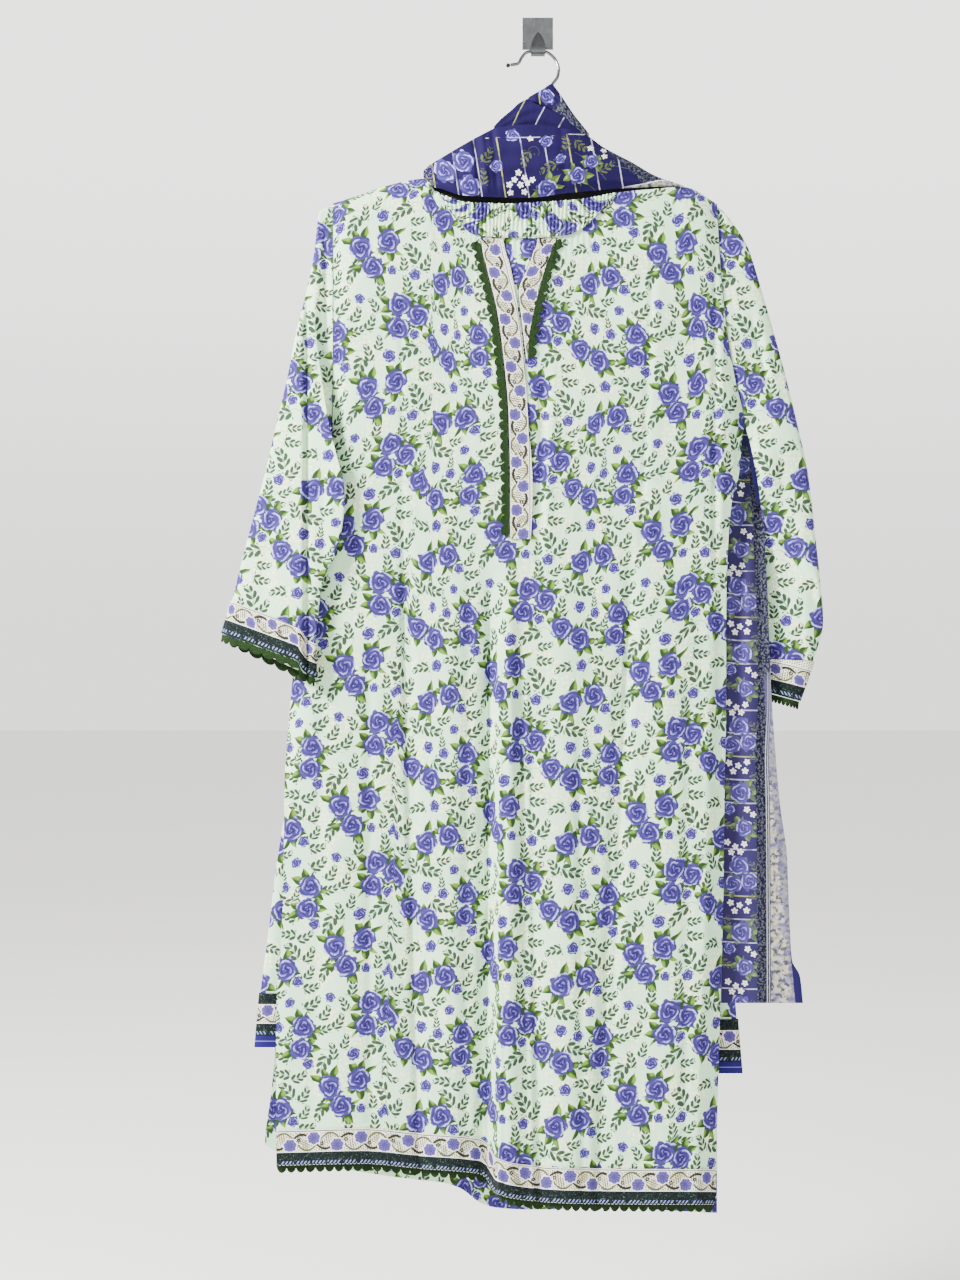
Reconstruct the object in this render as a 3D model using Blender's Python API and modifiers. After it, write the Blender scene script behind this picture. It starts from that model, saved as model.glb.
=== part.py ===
"""A printed cotton kameez, its trousers and its dupatta on one hanger, hung from a small wall hook.

Lengths in the tables are millimetres. x is measured to the right of the wall hook's plate, drop is measured
down from it, and depth is measured out from the wall. The tables were read straight from in front, on a plane
45 mm from the wall, so place() brings each point back from that plane to its own depth.
"""

import math

import bmesh
import bpy
import numpy as np
from mathutils import Vector

MM = 0.001
COLLECTION = "salwar_kameez_suit"

# the point that the tables were read from
EYE_X = -59.0
EYE_DROP = 622.0
EYE_DISTANCE = 1700.0
TABLE_DEPTH = 45.0

# cloth
COTTON = 1.2
BAND_COTTON = 1.0
SEAM_GAP = 0.3
# how far a trim's middle lies in front of its cloth, and how far a lace's middle lies behind it
RISE = COTTON + 0.8
SET_BACK = COTTON + 1.8
# a seam between two walls' middles on one surface
WALL_SEAM = 0.6

# wall hook and hanger
PLATE_WIDTH = 32.0
PLATE_HEIGHT = 33.0
PLATE_THICKNESS = 1.5
PLATE_EDGE = 0.4
TONGUE_WALL = 1.2
WIRE_RADIUS = 1.45
TIP_RADIUS = 2.2
HANGER_DEPTH = 25.0
HANGER_THICKNESS = 5.0
BAR_RADIUS = 3.0
BAR_DROP = 282.0
BAR_LEFT = -187.0
BAR_RIGHT = 165.0
BAR_CORNER = 10.0
BAR_CLEARANCE = 0.6

# kameez
SHOULDER_DROP = 187.0
HEM_DROP = 1150.0
ARMPIT_DROP = 407.0
SLIT_DROP = 742.0
CHEST_DEPTH = 38.0
BACK_DEPTH = 12.5
ARMHOLE_HALF_DEPTH = 8.0
LEFT_SEAM_DEPTH = 24.0
RIGHT_SEAM_DEPTH = 32.0
SLIT_FRONT_DEPTH = 33.0
SLIT_BACK_DEPTH = 10.5
EDGE_ROLL = 15.0
BORDER_HEIGHT = 36.0
LACE_HEIGHT = 8.0
LACE_TUCK = 2.0
LACE_CUT = 0.55
SCALLOP_PITCH = 10.6
GATHER_PITCH = 4.0
GATHER_HEIGHT = 0.9
CUFF_SCALLOPS = 18

# trousers
LEG_HALF_GAP = 2.0
LEG_BEND = LEG_HALF_GAP + COTTON / 2 + BAR_CLEARANCE + BAR_RADIUS
WAIST_FLAP = 170.0
CASING_HEIGHT = 35.0
TROUSER_BORDER = 54.0


def table(columns, *rows):
    """A table with named columns, as one array for each column."""
    return dict(zip(columns.split(), np.array(rows, float).T))


FRONT_SIDES = table(
    "drop left right",
    (185, -206, 178),
    (240, -206, 181),
    (300, -206, 186.5),
    (360, -206, 196),
    (407, -207, 205.5),
    (420, -212, 203),
    (458, -222, 199.5),
    (485, -226, 192.5),
    (532, -231, 188.7),
    (600, -240, 187),
    (685, -248.5, 187),
    (771, -254.5, 185.5),
    (860, -255.5, 184.5),
    (928, -258, 183),
    (976, -262, 181.5),
    (1033, -263, 180),
    (1195, -262, 175.5),
)
FRONT_TOP = table(
    "x drop",
    (-208, 186),
    (-109, 160.5),
    (-106, 171),
    (-92, 183),
    (-74, 201),
    (-54, 209),
    (-14, 211),
    (29, 208),
    (48, 197),
    (64, 183),
    (80, 174.5),
    (110, 171.5),
    (144, 169),
    (179, 186.5),
)
FRONT_HEM = table(
    "x drop",
    (-264, 1148),
    (-175, 1146),
    (-117, 1151),
    (-60, 1156),
    (-50, 1163),
    (-41, 1176),
    (-18, 1182),
    (43, 1186),
    (177, 1187),
)
BACK_SIDES = table(
    "drop left right",
    (185, -206, 178),
    (240, -206, 181),
    (300, -206, 186.5),
    (360, -206, 196),
    (407, -207, 205.5),
    (420, -212, 203),
    (458, -222, 199.5),
    (485, -226, 192.5),
    (532, -231, 188.7),
    (600, -240, 187),
    (685, -248.5, 187),
    (742, -252.5, 186),
    (860, -256, 182),
    (1035, -264, 178.5),
    (1072, -267.5, 178),
    (1126, -274, 178),
    (1195, -274, 178),
)
BACK_TOP = table(
    "x drop",
    (-208, 186),
    (-109, 160.5),
    (-104, 166),
    (-60, 175),
    (10, 178),
    (90, 176),
    (136, 171),
    (144, 169),
    (179, 186.5),
)
BACK_HEM = table(
    "x drop",
    (-275, 1126),
    (-262, 1134),
    (-200, 1150),
    (-119, 1162),
    (-99, 1164),
    (-79, 1170),
    (-58, 1185),
    (-43, 1189.5),
    (-12, 1191.5),
    (60, 1190),
    (179, 1195),
)
# The largest folds of the front: a trough's height is negative. Each fades in over FADE below its top.
FADE = 120.0
FRONT_FOLDS = table(
    "top_x top_drop low_x low_drop width height",
    (-45, 522, -53, 1180, 12, -9),
    (-31, 522, -31, 1180, 13, 7),
    (-22, 560, 2, 1180, 8, -4),
    (94, 500, 60, 1180, 8, -6),
    (-135, 470, -117, 1180, 7, -3),
    (24, 520, 30, 1180, 22, 5),
    (132, 520, 122, 1180, 24, 4),
    (-92, 520, -88, 1180, 20, 4),
    (-198, 700, -200, 1180, 22, 3),
)
# shares of the front's width, close together at its sides and along its folds
FRONT_COLUMNS = np.array(
    (0, 0.012, 0.03, 0.06, 0.1, 0.15, 0.21, 0.27, 0.32, 0.36, 0.4, 0.435, 0.46, 0.48, 0.5)
    + (0.52, 0.545, 0.575, 0.615, 0.66, 0.7, 0.735, 0.77, 0.81, 0.86, 0.91, 0.945, 0.97, 0.988, 1)
)
# shares of a panel's length, close together over the hanger, at the armpit and at the top of the slit
FRONT_ROWS = np.array(
    (0, 0.004, 0.009, 0.018, 0.04, 0.08, 0.13, 0.18, 0.22, 0.24, 0.27, 0.32)
    + (0.39, 0.46, 0.53, 0.58, 0.63, 0.7, 0.79, 0.88, 0.96, 1)
)
BACK_ROWS = np.array(
    (0, 0.004, 0.009, 0.018, 0.05, 0.12, 0.18, 0.222, 0.245)
    + (0.29, 0.38, 0.48, 0.57, 0.61, 0.7, 0.8, 0.9, 1)
)
NECK_EDGE = table(
    "x drop",
    (-108, 171),
    (-96, 176.6),
    (-74.4, 183.8),
    (-33.3, 185.6),
    (6, 183.8),
    (41.7, 181),
    (75.6, 175),
    (80, 174.5),
)
BAND_EDGE = table(
    "x drop",
    (-108, 172),
    (-99, 178),
    (-92, 189),
    (-83, 201),
    (-74, 211),
    (-66, 216),
    (-54, 218),
    (-14, 220),
    (29, 217),
    (43, 210),
    (56, 200),
    (67, 187),
    (76, 177),
    (80, 175.5),
)
PLACKET_LEFT = table(
    "drop left right",
    (221, -60, -37),
    (257, -51, -27),
    (295, -42, -21),
    (336, -36.4, -15.6),
    (397, -31, -11.4),
    (474, -29.3, -6.4),
    (521, -29.3, -8.4),
)
PLACKET_RIGHT = table(
    "drop left right",
    (221, -1.2, 16.6),
    (249, -11.4, 6.4),
    (275, -21, -1),
    (287, -19.8, -4),
    (321, -15.8, -10.4),
    (341, -13.4, -11.8),
)

LEFT_SLEEVE = table(
    "out_x out_drop in_x in_drop out_depth in_depth gap bow",
    (-207.6, 187.5, -208.2, 406.5, 25, 25, 1, 0),
    (-219, 194, -211.5, 413, 25, 26, 15, 0),
    (-225, 237, -215, 424, 26, 34, 13, 0),
    (-232, 272, -205, 440, 28, 46, 10, 0),
    (-242.5, 314, -196, 462, 29, 49, 9, 0),
    (-251, 357, -194.5, 483, 29, 49, 9, 0),
    (-264, 413, -197, 508, 29, 49, 9, 0),
    (-272, 448, -203, 533, 29, 49, 9, 0),
    (-283, 490, -217, 566, 29, 48, 10, 0),
    (-295, 535, -221, 598, 29, 48, 10, 0),
    (-307, 583, -223.5, 626, 29, 48, 11, 0),
    (-316.5, 615.6, -224, 660, 29, 48, 12, 0),
)
RIGHT_SLEEVE = table(
    "out_x out_drop in_x in_drop out_depth in_depth gap bow",
    (180.6, 188.5, 207.8, 406.5, 25, 25, 1, -6),
    (187, 197, 208, 413, 25, 25, 15, -5),
    (197, 210, 210, 420, 26, 25, 15, -3),
    (208, 228, 212, 428, 27, 25, 14, 0),
    (226, 285, 214.5, 440, 27, 25, 14, 0),
    (244, 349, 217.5, 455, 27, 24, 13, 0),
    (258, 406, 220.5, 474, 25, 22, 13, 0),
    (269, 457, 223, 500, 23, 14, 12, 0),
    (276, 517, 225, 538, 20, 9, 12, 0),
    (281, 563, 226.5, 578, 18, 9, 13, 0),
    (284, 603, 228, 615, 17, 9, 14, 0),
    (274, 643, 230, 641, 16, 9, 15, 0),
    (260, 683, 231, 675, 15, 9, 15, 0),
)
# where each cuff's border starts, as a row of its sleeve's table
LEFT_BORDER_ROW = 10
RIGHT_BORDER_ROW = 11
# the front of each sleeve steps back along this line
LEFT_FOLD_X = -235.0
RIGHT_FOLD = table(
    "drop x",
    (440, 214),
    (453, 220.6),
    (487, 236),
    (520, 256),
    (542, 263),
    (582, 279),
    (603, 284),
    (690, 300),
)

LEFT_LEG = table(
    "drop outer inner",
    (BAR_DROP, -180, -12),
    (400, -194, -11.5),
    (600, -222, -20),
    (740, -241, -28),
    (800, -254.5, -32),
    (849, -262.5, -34),
    (913, -270.3, -38),
    (972, -278, -41),
    (1029, -283, -44),
)
RIGHT_LEG = table(
    "drop outer inner",
    (BAR_DROP, 158, -10),
    (400, 165, -10.5),
    (600, 171, -16),
    (740, 175, -20),
    (800, 179, -22),
    (913, 190, -28),
    (1055, 202, -36),
)

HOOK_WIRE = table(
    "x drop depth",
    (-28.5, 47, 21),
    (-21, 45.5, 20),
    (-17.4, 39.7, 19),
    (-12.5, 34.6, 18),
    (-2, 32.6, 17.5),
    (7, 34, 18),
    (12.7, 37.5, 19),
    (17.6, 43.9, 20),
    (19.7, 51.6, 21.5),
    (18.7, 58.6, 22.5),
    (15.5, 63.5, 23.3),
    (12.9, 67.5, 24),
    (12, 80, 25),
    (11, 130.7, 25),
)
TONGUE = table(
    "depth drop half_width",
    (2.4, 13, 7),
    (3.4, 18, 7),
    (8, 24.2, 7),
    (14, 27, 7),
    (19, 26.7, 7),
    (22.3, 23, 7),
    (23.2, 18, 6.8),
    (23.2, 13.5, 5.2),
    (23.2, 9.5, 3),
    (23.2, 6.8, 0.8),
)
HANGER_ARMS = table(
    "x top bottom",
    (-190, 188, 193),
    (-186, 184.5, 194),
    (-109, 165.5, 190),
    (-50, 148, 188),
    (-14, 137.5, 187.5),
    (4, 131.5, 187),
    (18, 131.5, 187),
    (38, 137.5, 187.5),
    (80, 150, 188),
    (140, 173.5, 191),
    (164, 185.5, 194.5),
    (168, 188.5, 193.5),
)

COWL = table(
    "x top low depth",
    (-115.5, 153, 159, 28),
    (-109.6, 147.5, 167.6, 33),
    (-96, 139, 171.3, 39),
    (-79, 128.8, 176.8, 44),
    (-59, 117.7, 178.5, 47),
    (-40, 109.3, 179.2, 49),
    (-10, 106.6, 179.6, 50),
    (28, 111, 175, 50),
    (45, 116, 173.5, 48),
    (65, 129.7, 171.6, 46),
    (93, 144.5, 169.8, 42),
    (117, 158.3, 168.6, 37),
    (137, 165.2, 168.2, 33),
    (144.5, 167.8, 169, 31),
)
ROLL = table(
    "x top low depth",
    (-45, 108.4, 118, 35.4),
    (-38, 101, 121, 36.4),
    (-27, 91.8, 121, 36.4),
    (-20, 85.3, 120, 36.4),
    (-10.6, 80.7, 119, 36.4),
    (0, 79, 119, 36.4),
    (12, 85, 120, 36.4),
    (24.5, 93, 122, 36.4),
    (37.5, 104, 124, 36.4),
    (46, 113, 126, 35.4),
)
CONE = table(
    "x top low depth",
    (-10.6, 79.5, 81.5, 38),
    (-3, 75, 84, 41),
    (5, 70.5, 88, 40),
    (12.5, 66, 91, 40),
    (17, 70.5, 94, 40),
    (24.5, 81, 98.5, 41),
    (34, 95.5, 107, 42),
    (43, 107, 114, 42),
    (50, 115.5, 119.5, 41),
)
NECK_BACK = table(
    "x top low depth",
    (-111, 151, 176, 13),
    (-96, 141, 196, 8),
    (-59, 120, 199, 8),
    (-25, 95, 200, 8),
    (12, 70, 200, 8),
    (34, 98, 200, 8),
    (55, 125, 199, 8),
    (93, 146, 197, 8),
    (130, 164, 192, 8),
    (141, 168.5, 184, 13),
)
LINK = table(
    "drop left right depth",
    (200.6, 40, 118, 11),
    (230, 66, 136, 5.5),
    (290, 118, 170, 5),
    (350, 162, 198, 5),
    (405, 200, 215, 6.5),
)
TAIL_RIGHT = table(
    "drop left right depth",
    (405.6, 203, 214, 7),
    (430, 203.5, 219, 9),
    (455, 198.5, 221, 11),
    (480, 193.5, 221.5, 14),
    (510, 190, 221.5, 18),
    (545, 189, 222.5, 22),
    (586, 188.6, 225.5, 24),
    (617, 188.4, 228.5, 25.5),
    (678, 188.4, 232.6, 26),
    (742, 187.5, 237, 26),
    (790, 180, 241.5, 26),
    (837, 176, 248, 26),
    (888, 174.5, 250, 26),
    (942, 173.5, 253, 26.5),
    (958, 173, 261, 26.5),
    (985, 173, 264, 26.5),
)
TAIL_LEFT = table(
    "drop left right depth",
    (200.6, -88, -12, 11),
    (240, -100, -4, 5.5),
    (500, -108, -2, 5),
    (990, -118, 8, 5),
)


def smooth(rows, key, column, value):
    """A column of a table where its column `key` has this value, on a soft curve through the rows."""
    xs = rows[key]
    ys = rows[column]
    value = min(max(value, xs[0]), xs[-1])
    i = min(max(int(np.searchsorted(xs, value)) - 1, 0), len(xs) - 2)
    slopes = np.diff(ys) / np.diff(xs)
    tangents = []
    for k in (i, i + 1):
        before = slopes[max(k - 1, 0)]
        after = slopes[min(k, len(slopes) - 1)]
        same_way = before * after > 0
        tangents.append(2 * before * after / (before + after) if same_way else 0.0)
    span = xs[i + 1] - xs[i]
    t = (value - xs[i]) / span
    start = ys[i] * (1 + 2 * t) * (1 - t) ** 2 + span * tangents[0] * t * (1 - t) ** 2
    return start + ys[i + 1] * t * t * (3 - 2 * t) - span * tangents[1] * t * t * (1 - t)


def step(low, high, value):
    t = min(max((value - low) / (high - low), 0.0), 1.0)
    return t * t * (3 - 2 * t)


def place(x, drop, depth):
    """The real place, in metres, of a point of the tables."""
    reach = (EYE_DISTANCE + TABLE_DEPTH - depth) / EYE_DISTANCE
    real_x = EYE_X + (x - EYE_X) * reach
    real_drop = EYE_DROP + (drop - EYE_DROP) * reach
    return Vector((real_x, -depth, -real_drop)) * MM


def moved_out(surface, a, b, distance):
    """A point of a surface moved this far along its normal, to the side that faces the room at the front."""
    nudge = 1e-3
    along_a = surface(a + nudge, b) - surface(a - nudge, b)
    along_b = surface(a, b + nudge) - surface(a, b - nudge)
    normal = along_b.cross(along_a).normalized()
    return surface(a, b) + normal * distance * MM


def gathered(count, pull):
    """Fractions from 0 to 1 that crowd towards both ends."""
    even = np.linspace(0, 1, count + 1)
    return (1 - pull) * even + pull * (0.5 - 0.5 * np.cos(math.pi * even))


# depths of the kameez
def armhole_spread(drop):
    share = min(max((drop - SHOULDER_DROP) / (ARMPIT_DROP - SHOULDER_DROP), 0.0), 1.0)
    return 1.0 + ARMHOLE_HALF_DEPTH * math.sin(math.pi * share) ** 0.6


def side_depth(drop, right, front):
    """Depth of a panel's side edge: armhole, then side seam, then slit."""
    way = 1 if front else -1
    if drop < ARMPIT_DROP:
        return HANGER_DEPTH + way * armhole_spread(drop)
    seam = RIGHT_SEAM_DEPTH if right else LEFT_SEAM_DEPTH
    seam = HANGER_DEPTH + (seam - HANGER_DEPTH) * step(ARMPIT_DROP, 490, drop)
    free = SLIT_FRONT_DEPTH if front else SLIT_BACK_DEPTH
    opened = step(SLIT_DROP, SLIT_DROP + 40, drop)
    return (seam + way) * (1 - opened) + free * opened


def fold_height(x, drop):
    total = 0.0
    for top_x, top_drop, low_x, low_drop, width, height in zip(*FRONT_FOLDS.values()):
        share = (drop - top_drop) / (low_drop - top_drop)
        centre = top_x + (low_x - top_x) * share
        total += height * step(0, FADE, drop - top_drop) * math.exp(-(((x - centre) / width) ** 2))
    return total


def front_depth(x, drop):
    left = smooth(FRONT_SIDES, "drop", "left", drop)
    right = smooth(FRONT_SIDES, "drop", "right", drop)
    low = step(420, 1150, drop)
    middle = CHEST_DEPTH - 3 * low + 12 * low * step(-62, -34, x) + fold_height(x, drop)
    below_edge = max(drop - smooth(FRONT_TOP, "x", "drop", x), 0.0)
    shoulder = 1 - step(-112, -100, x) + step(136, 146, x)
    top = HANGER_DEPTH + 1
    middle -= shoulder * (middle - top) * math.exp(-below_edge / 6)
    middle -= (1 - shoulder) * 2.5 * math.exp(-below_edge / 40)
    for edge, is_right in ((x - left, False), (right - x, True)):
        side = side_depth(drop, is_right, True)
        middle += (side - middle) * math.exp(-((max(edge, 0.0) / EDGE_ROLL) ** 1.3) * 2)
    return middle


def back_depth(x, drop):
    left = smooth(BACK_SIDES, "drop", "left", drop)
    right = smooth(BACK_SIDES, "drop", "right", drop)
    low = step(500, 1150, drop)
    middle = BACK_DEPTH - 2 * low + 1.2 * low * math.sin((x + 40) / 26)
    below_edge = max(drop - smooth(BACK_TOP, "x", "drop", x), 0.0)
    shoulder = 1 - step(-112, -100, x) + step(136, 146, x)
    top = HANGER_DEPTH - 1
    middle -= shoulder * (middle - top) * math.exp(-below_edge / 7)
    middle += (1 - shoulder) * 5 * math.exp(-below_edge / 30)
    for edge, is_right in ((x - left, False), (right - x, True)):
        side = side_depth(drop, is_right, False)
        middle += (side - middle) * math.exp(-((max(edge, 0.0) / EDGE_ROLL) ** 1.3) * 3)
    return middle


def panel_spot(sides, top, hem, across, down):
    """x and drop at a share of a panel's width and of its length."""
    drop = SHOULDER_DROP + (HEM_DROP - SHOULDER_DROP) * down
    x = 0.0
    for _ in range(4):
        left = smooth(sides, "drop", "left", drop)
        right = smooth(sides, "drop", "right", drop)
        x = left + (right - left) * across
        high = smooth(top, "x", "drop", x)
        drop = high + (smooth(hem, "x", "drop", x) - high) * down
    return x, drop


def front_surface(across, down):
    x, drop = panel_spot(FRONT_SIDES, FRONT_TOP, FRONT_HEM, across, down)
    return place(x, drop, front_depth(x, drop))


def back_surface(across, down):
    x, drop = panel_spot(BACK_SIDES, BACK_TOP, BACK_HEM, across, down)
    return place(x, drop, back_depth(x, drop))


def on_front(x, drop):
    return place(x, drop, front_depth(x, drop))


# sleeves
def sleeve_section(rows, along):
    """A sleeve's section at this share of its rows, as one value for each column."""
    numbered = dict(rows, row=np.arange(len(rows["out_x"]), dtype=float))
    at = along * (len(rows["out_x"]) - 1)
    return {name: smooth(numbered, "row", name, at) for name in rows}


def sleeve_point(rows, is_right, around, along, cuff_step):
    """A point of a sleeve: `around` runs over its front from the outer edge, then back behind."""
    section = sleeve_section(rows, along)
    turn = 2 * math.pi * around
    share = 0.5 - 0.5 * math.cos(turn)
    front = math.sin(turn)
    x = section["out_x"] + (section["in_x"] - section["out_x"]) * share
    x += section["bow"] * math.sin(math.pi * share)
    drop = section["out_drop"] + (section["in_drop"] - section["out_drop"]) * share
    depth = section["out_depth"] + (section["in_depth"] - section["out_depth"]) * share
    spread = section["gap"] / 2
    at_armhole = 1 - step(0, 1.5, along * (len(rows["out_x"]) - 1))
    spread += (armhole_spread(drop) - spread) * at_armhole
    depth += spread * math.copysign(abs(front) ** 0.6, front)
    if front > 0:
        if is_right:
            before = x - smooth(RIGHT_FOLD, "drop", "x", drop)
            depth += 6 * step(0.3, 0.5, along) * step(-3, 3, before) * min(1, 2.5 * front)
        else:
            depth += 5 * step(0.2, 0.4, along) * (1 - step(-3, 3, x - LEFT_FOLD_X)) * min(1, 2.5 * front)
            hang = min(share / 0.8, 1.0) - step(0.8, 0.88, share)
            drop -= cuff_step * hang * step(0.6, 1, along) * min(1, 3 * front)
    return place(x, drop, depth)


def left_sleeve(around, along):
    return sleeve_point(LEFT_SLEEVE, False, around, along, 9)


def right_sleeve(around, along):
    return sleeve_point(RIGHT_SLEEVE, True, around, along, 0)


# trousers
def leg_length(rows):
    """A leg's length from its hem, over the bar, to its casing."""
    return rows["drop"][-1] - BAR_DROP + math.pi * LEG_BEND + WAIST_FLAP


def leg_spine(rows, along):
    """Depth, drop, outward direction and table drop of a leg's middle at this share of its length."""
    hem = rows["drop"][-1]
    arc = math.pi * LEG_BEND
    run = along * leg_length(rows)
    if run < hem - BAR_DROP:
        return HANGER_DEPTH - LEG_BEND, hem - run, (-1.0, 0.0), hem - run
    run -= hem - BAR_DROP
    if run < arc:
        turn = run / LEG_BEND
        out = (-math.cos(turn), -math.sin(turn))
        return HANGER_DEPTH + LEG_BEND * out[0], BAR_DROP + LEG_BEND * out[1], out, BAR_DROP
    return HANGER_DEPTH + LEG_BEND, BAR_DROP + run - arc, (1.0, 0.0), BAR_DROP


def leg_point(rows, around, along):
    """`around` runs from the inner seam at the front, round the outer fold, to the inner seam behind."""
    depth, drop, out, at = leg_spine(rows, along)
    inner = smooth(rows, "drop", "inner", at)
    outer = smooth(rows, "drop", "outer", at)
    side = 2 * around - 1
    x = inner + (outer - inner) * (1 - side * side)
    half = LEG_HALF_GAP + 0.8 * step(BAR_DROP + 40, 700, drop)
    offset = half * min(max(6 * side, -1.0), 1.0)
    return place(x, drop + out[1] * offset, depth + out[0] * offset)


# making solids
def material(name, colour, roughness, metallic=0.0):
    made = bpy.data.materials.new(name)
    made.use_nodes = True
    shader = made.node_tree.nodes["Principled BSDF"]
    shader.inputs["Base Color"].default_value = (*colour, 1.0)
    shader.inputs["Roughness"].default_value = roughness
    shader.inputs["Metallic"].default_value = metallic
    return made


def add_object(name, mesh, colour):
    made = bpy.data.objects.new(name, mesh)
    mesh.materials.append(colour)
    mesh.shade_smooth()
    mesh.set_sharp_from_angle(angle=math.radians(50))
    bpy.data.collections[COLLECTION].objects.link(made)
    return made


def keep_in_collection(made):
    for home in list(made.users_collection):
        home.objects.unlink(made)
    bpy.data.collections[COLLECTION].objects.link(made)


def sheet(name, surface, columns, rows, colour, wall=COTTON, closed=False):
    """A wall of cloth: a grid laid on a surface by its shares across and down, then given its thickness."""
    grid = bmesh.new()
    bmesh.ops.create_grid(grid, x_segments=len(columns) - 1, y_segments=len(rows) - 1, size=1)
    for corner in grid.verts:
        column = round((corner.co.x + 1) / 2 * (len(columns) - 1))
        row = round((corner.co.y + 1) / 2 * (len(rows) - 1))
        corner.co = surface(columns[column], rows[row])
    if closed:
        bmesh.ops.remove_doubles(grid, verts=grid.verts, dist=1e-6)
    mesh = bpy.data.meshes.new(name)
    grid.to_mesh(mesh)
    grid.free()
    made = add_object(name, mesh, colour)
    thickness = made.modifiers.new("Wall", "SOLIDIFY")
    thickness.thickness = wall * MM
    thickness.offset = 0.0
    return made


def rod(name, points, radius, colour, sides=2):
    """A round wire or rod along points in metres."""
    curve = bpy.data.curves.new(name, "CURVE")
    curve.dimensions = "3D"
    curve.bevel_depth = radius * MM
    curve.bevel_resolution = sides
    curve.use_fill_caps = True
    spline = curve.splines.new("POLY")
    spline.points.add(len(points) - 1)
    for spot, point in zip(spline.points, points):
        spot.co = (*point, 1.0)
    made = bpy.data.objects.new(name, curve)
    curve.materials.append(colour)
    bpy.data.collections[COLLECTION].objects.link(made)
    return made


def even_points(rows, count):
    """Points in metres along the smooth line through a table's rows, evenly numbered."""
    numbered = dict(rows, row=np.arange(len(rows["x"]), dtype=float))
    last = len(rows["x"]) - 1
    return [
        place(*(smooth(numbered, "row", name, last * k / count) for name in ("x", "drop", "depth")))
        for k in range(count + 1)
    ]


def scalloped(surface, depth_share, count):
    """A strip's surface whose far edge is cut in round scallops; `across` is its length."""

    def point(across, down):
        dip = abs(math.sin(math.pi * count * across)) ** 0.7
        return surface(across, down * (1 - depth_share * (1 - dip)))

    return point


# the pieces
def add_wall_hook(steel):
    bpy.ops.mesh.primitive_cube_add(size=1)
    plate = bpy.context.object
    plate.name = "wall_plate"
    plate.scale = (PLATE_WIDTH * MM, PLATE_THICKNESS * MM, PLATE_HEIGHT * MM)
    plate.location = (0, -PLATE_THICKNESS / 2 * MM, 0)
    bpy.ops.object.transform_apply(location=True, scale=True)
    soft = plate.modifiers.new("Edges", "BEVEL")
    soft.width = PLATE_EDGE * MM
    soft.segments = 2
    plate.data.materials.append(steel)
    keep_in_collection(plate)

    numbered = dict(TONGUE, row=np.arange(len(TONGUE["drop"]), dtype=float))

    def tongue(across, along):
        at = along * (len(TONGUE["drop"]) - 1)
        half = smooth(numbered, "row", "half_width", at)
        drop = smooth(numbered, "row", "drop", at)
        depth = smooth(numbered, "row", "depth", at)
        return Vector(((2 * across - 1) * half, -depth, -drop)) * MM

    sheet("wall_hook", tongue, gathered(2, 0), gathered(11, 0), steel, TONGUE_WALL)


def add_hanger(chrome, plastic):
    points = even_points(HOOK_WIRE, 34)
    rod("hanger_hook", points, WIRE_RADIUS, chrome)
    end = points[0]
    away = (points[0] - points[1]).normalized()
    bpy.ops.mesh.primitive_uv_sphere_add(
        segments=12, ring_count=6, radius=TIP_RADIUS * MM, location=end + away * (TIP_RADIUS + SEAM_GAP) * MM
    )
    tip = bpy.context.object
    tip.name = "hanger_hook_tip"
    tip.data.materials.append(plastic)
    tip.data.shade_smooth()
    keep_in_collection(tip)

    def arms(across, down):
        left = HANGER_ARMS["x"][0]
        x = left + (HANGER_ARMS["x"][-1] - left) * across
        top = smooth(HANGER_ARMS, "x", "top", x)
        low = smooth(HANGER_ARMS, "x", "bottom", x)
        return place(x, top + (low - top) * down, HANGER_DEPTH)

    sheet("hanger_body", arms, gathered(26, 0.2), gathered(1, 0), plastic, HANGER_THICKNESS)

    seat = SEAM_GAP + 0.5
    under_left = smooth(HANGER_ARMS, "x", "bottom", BAR_LEFT + BAR_RADIUS) + seat
    under_right = smooth(HANGER_ARMS, "x", "bottom", BAR_RIGHT - BAR_RADIUS) + seat
    route = [(BAR_LEFT, under_left)]
    for k in range(5):
        turn = math.pi / 2 * k / 4
        in_x = BAR_CORNER * (1 - math.cos(turn))
        route.append((BAR_LEFT + in_x, BAR_DROP - BAR_CORNER * (1 - math.sin(turn))))
    for k in range(5):
        turn = math.pi / 2 * k / 4
        in_x = BAR_CORNER * (1 - math.sin(turn))
        route.append((BAR_RIGHT - in_x, BAR_DROP - BAR_CORNER * (1 - math.cos(turn))))
    route.append((BAR_RIGHT, under_right))
    rod("hanger_bar", [place(x, drop, HANGER_DEPTH) for x, drop in route], BAR_RADIUS, plastic)


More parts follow.
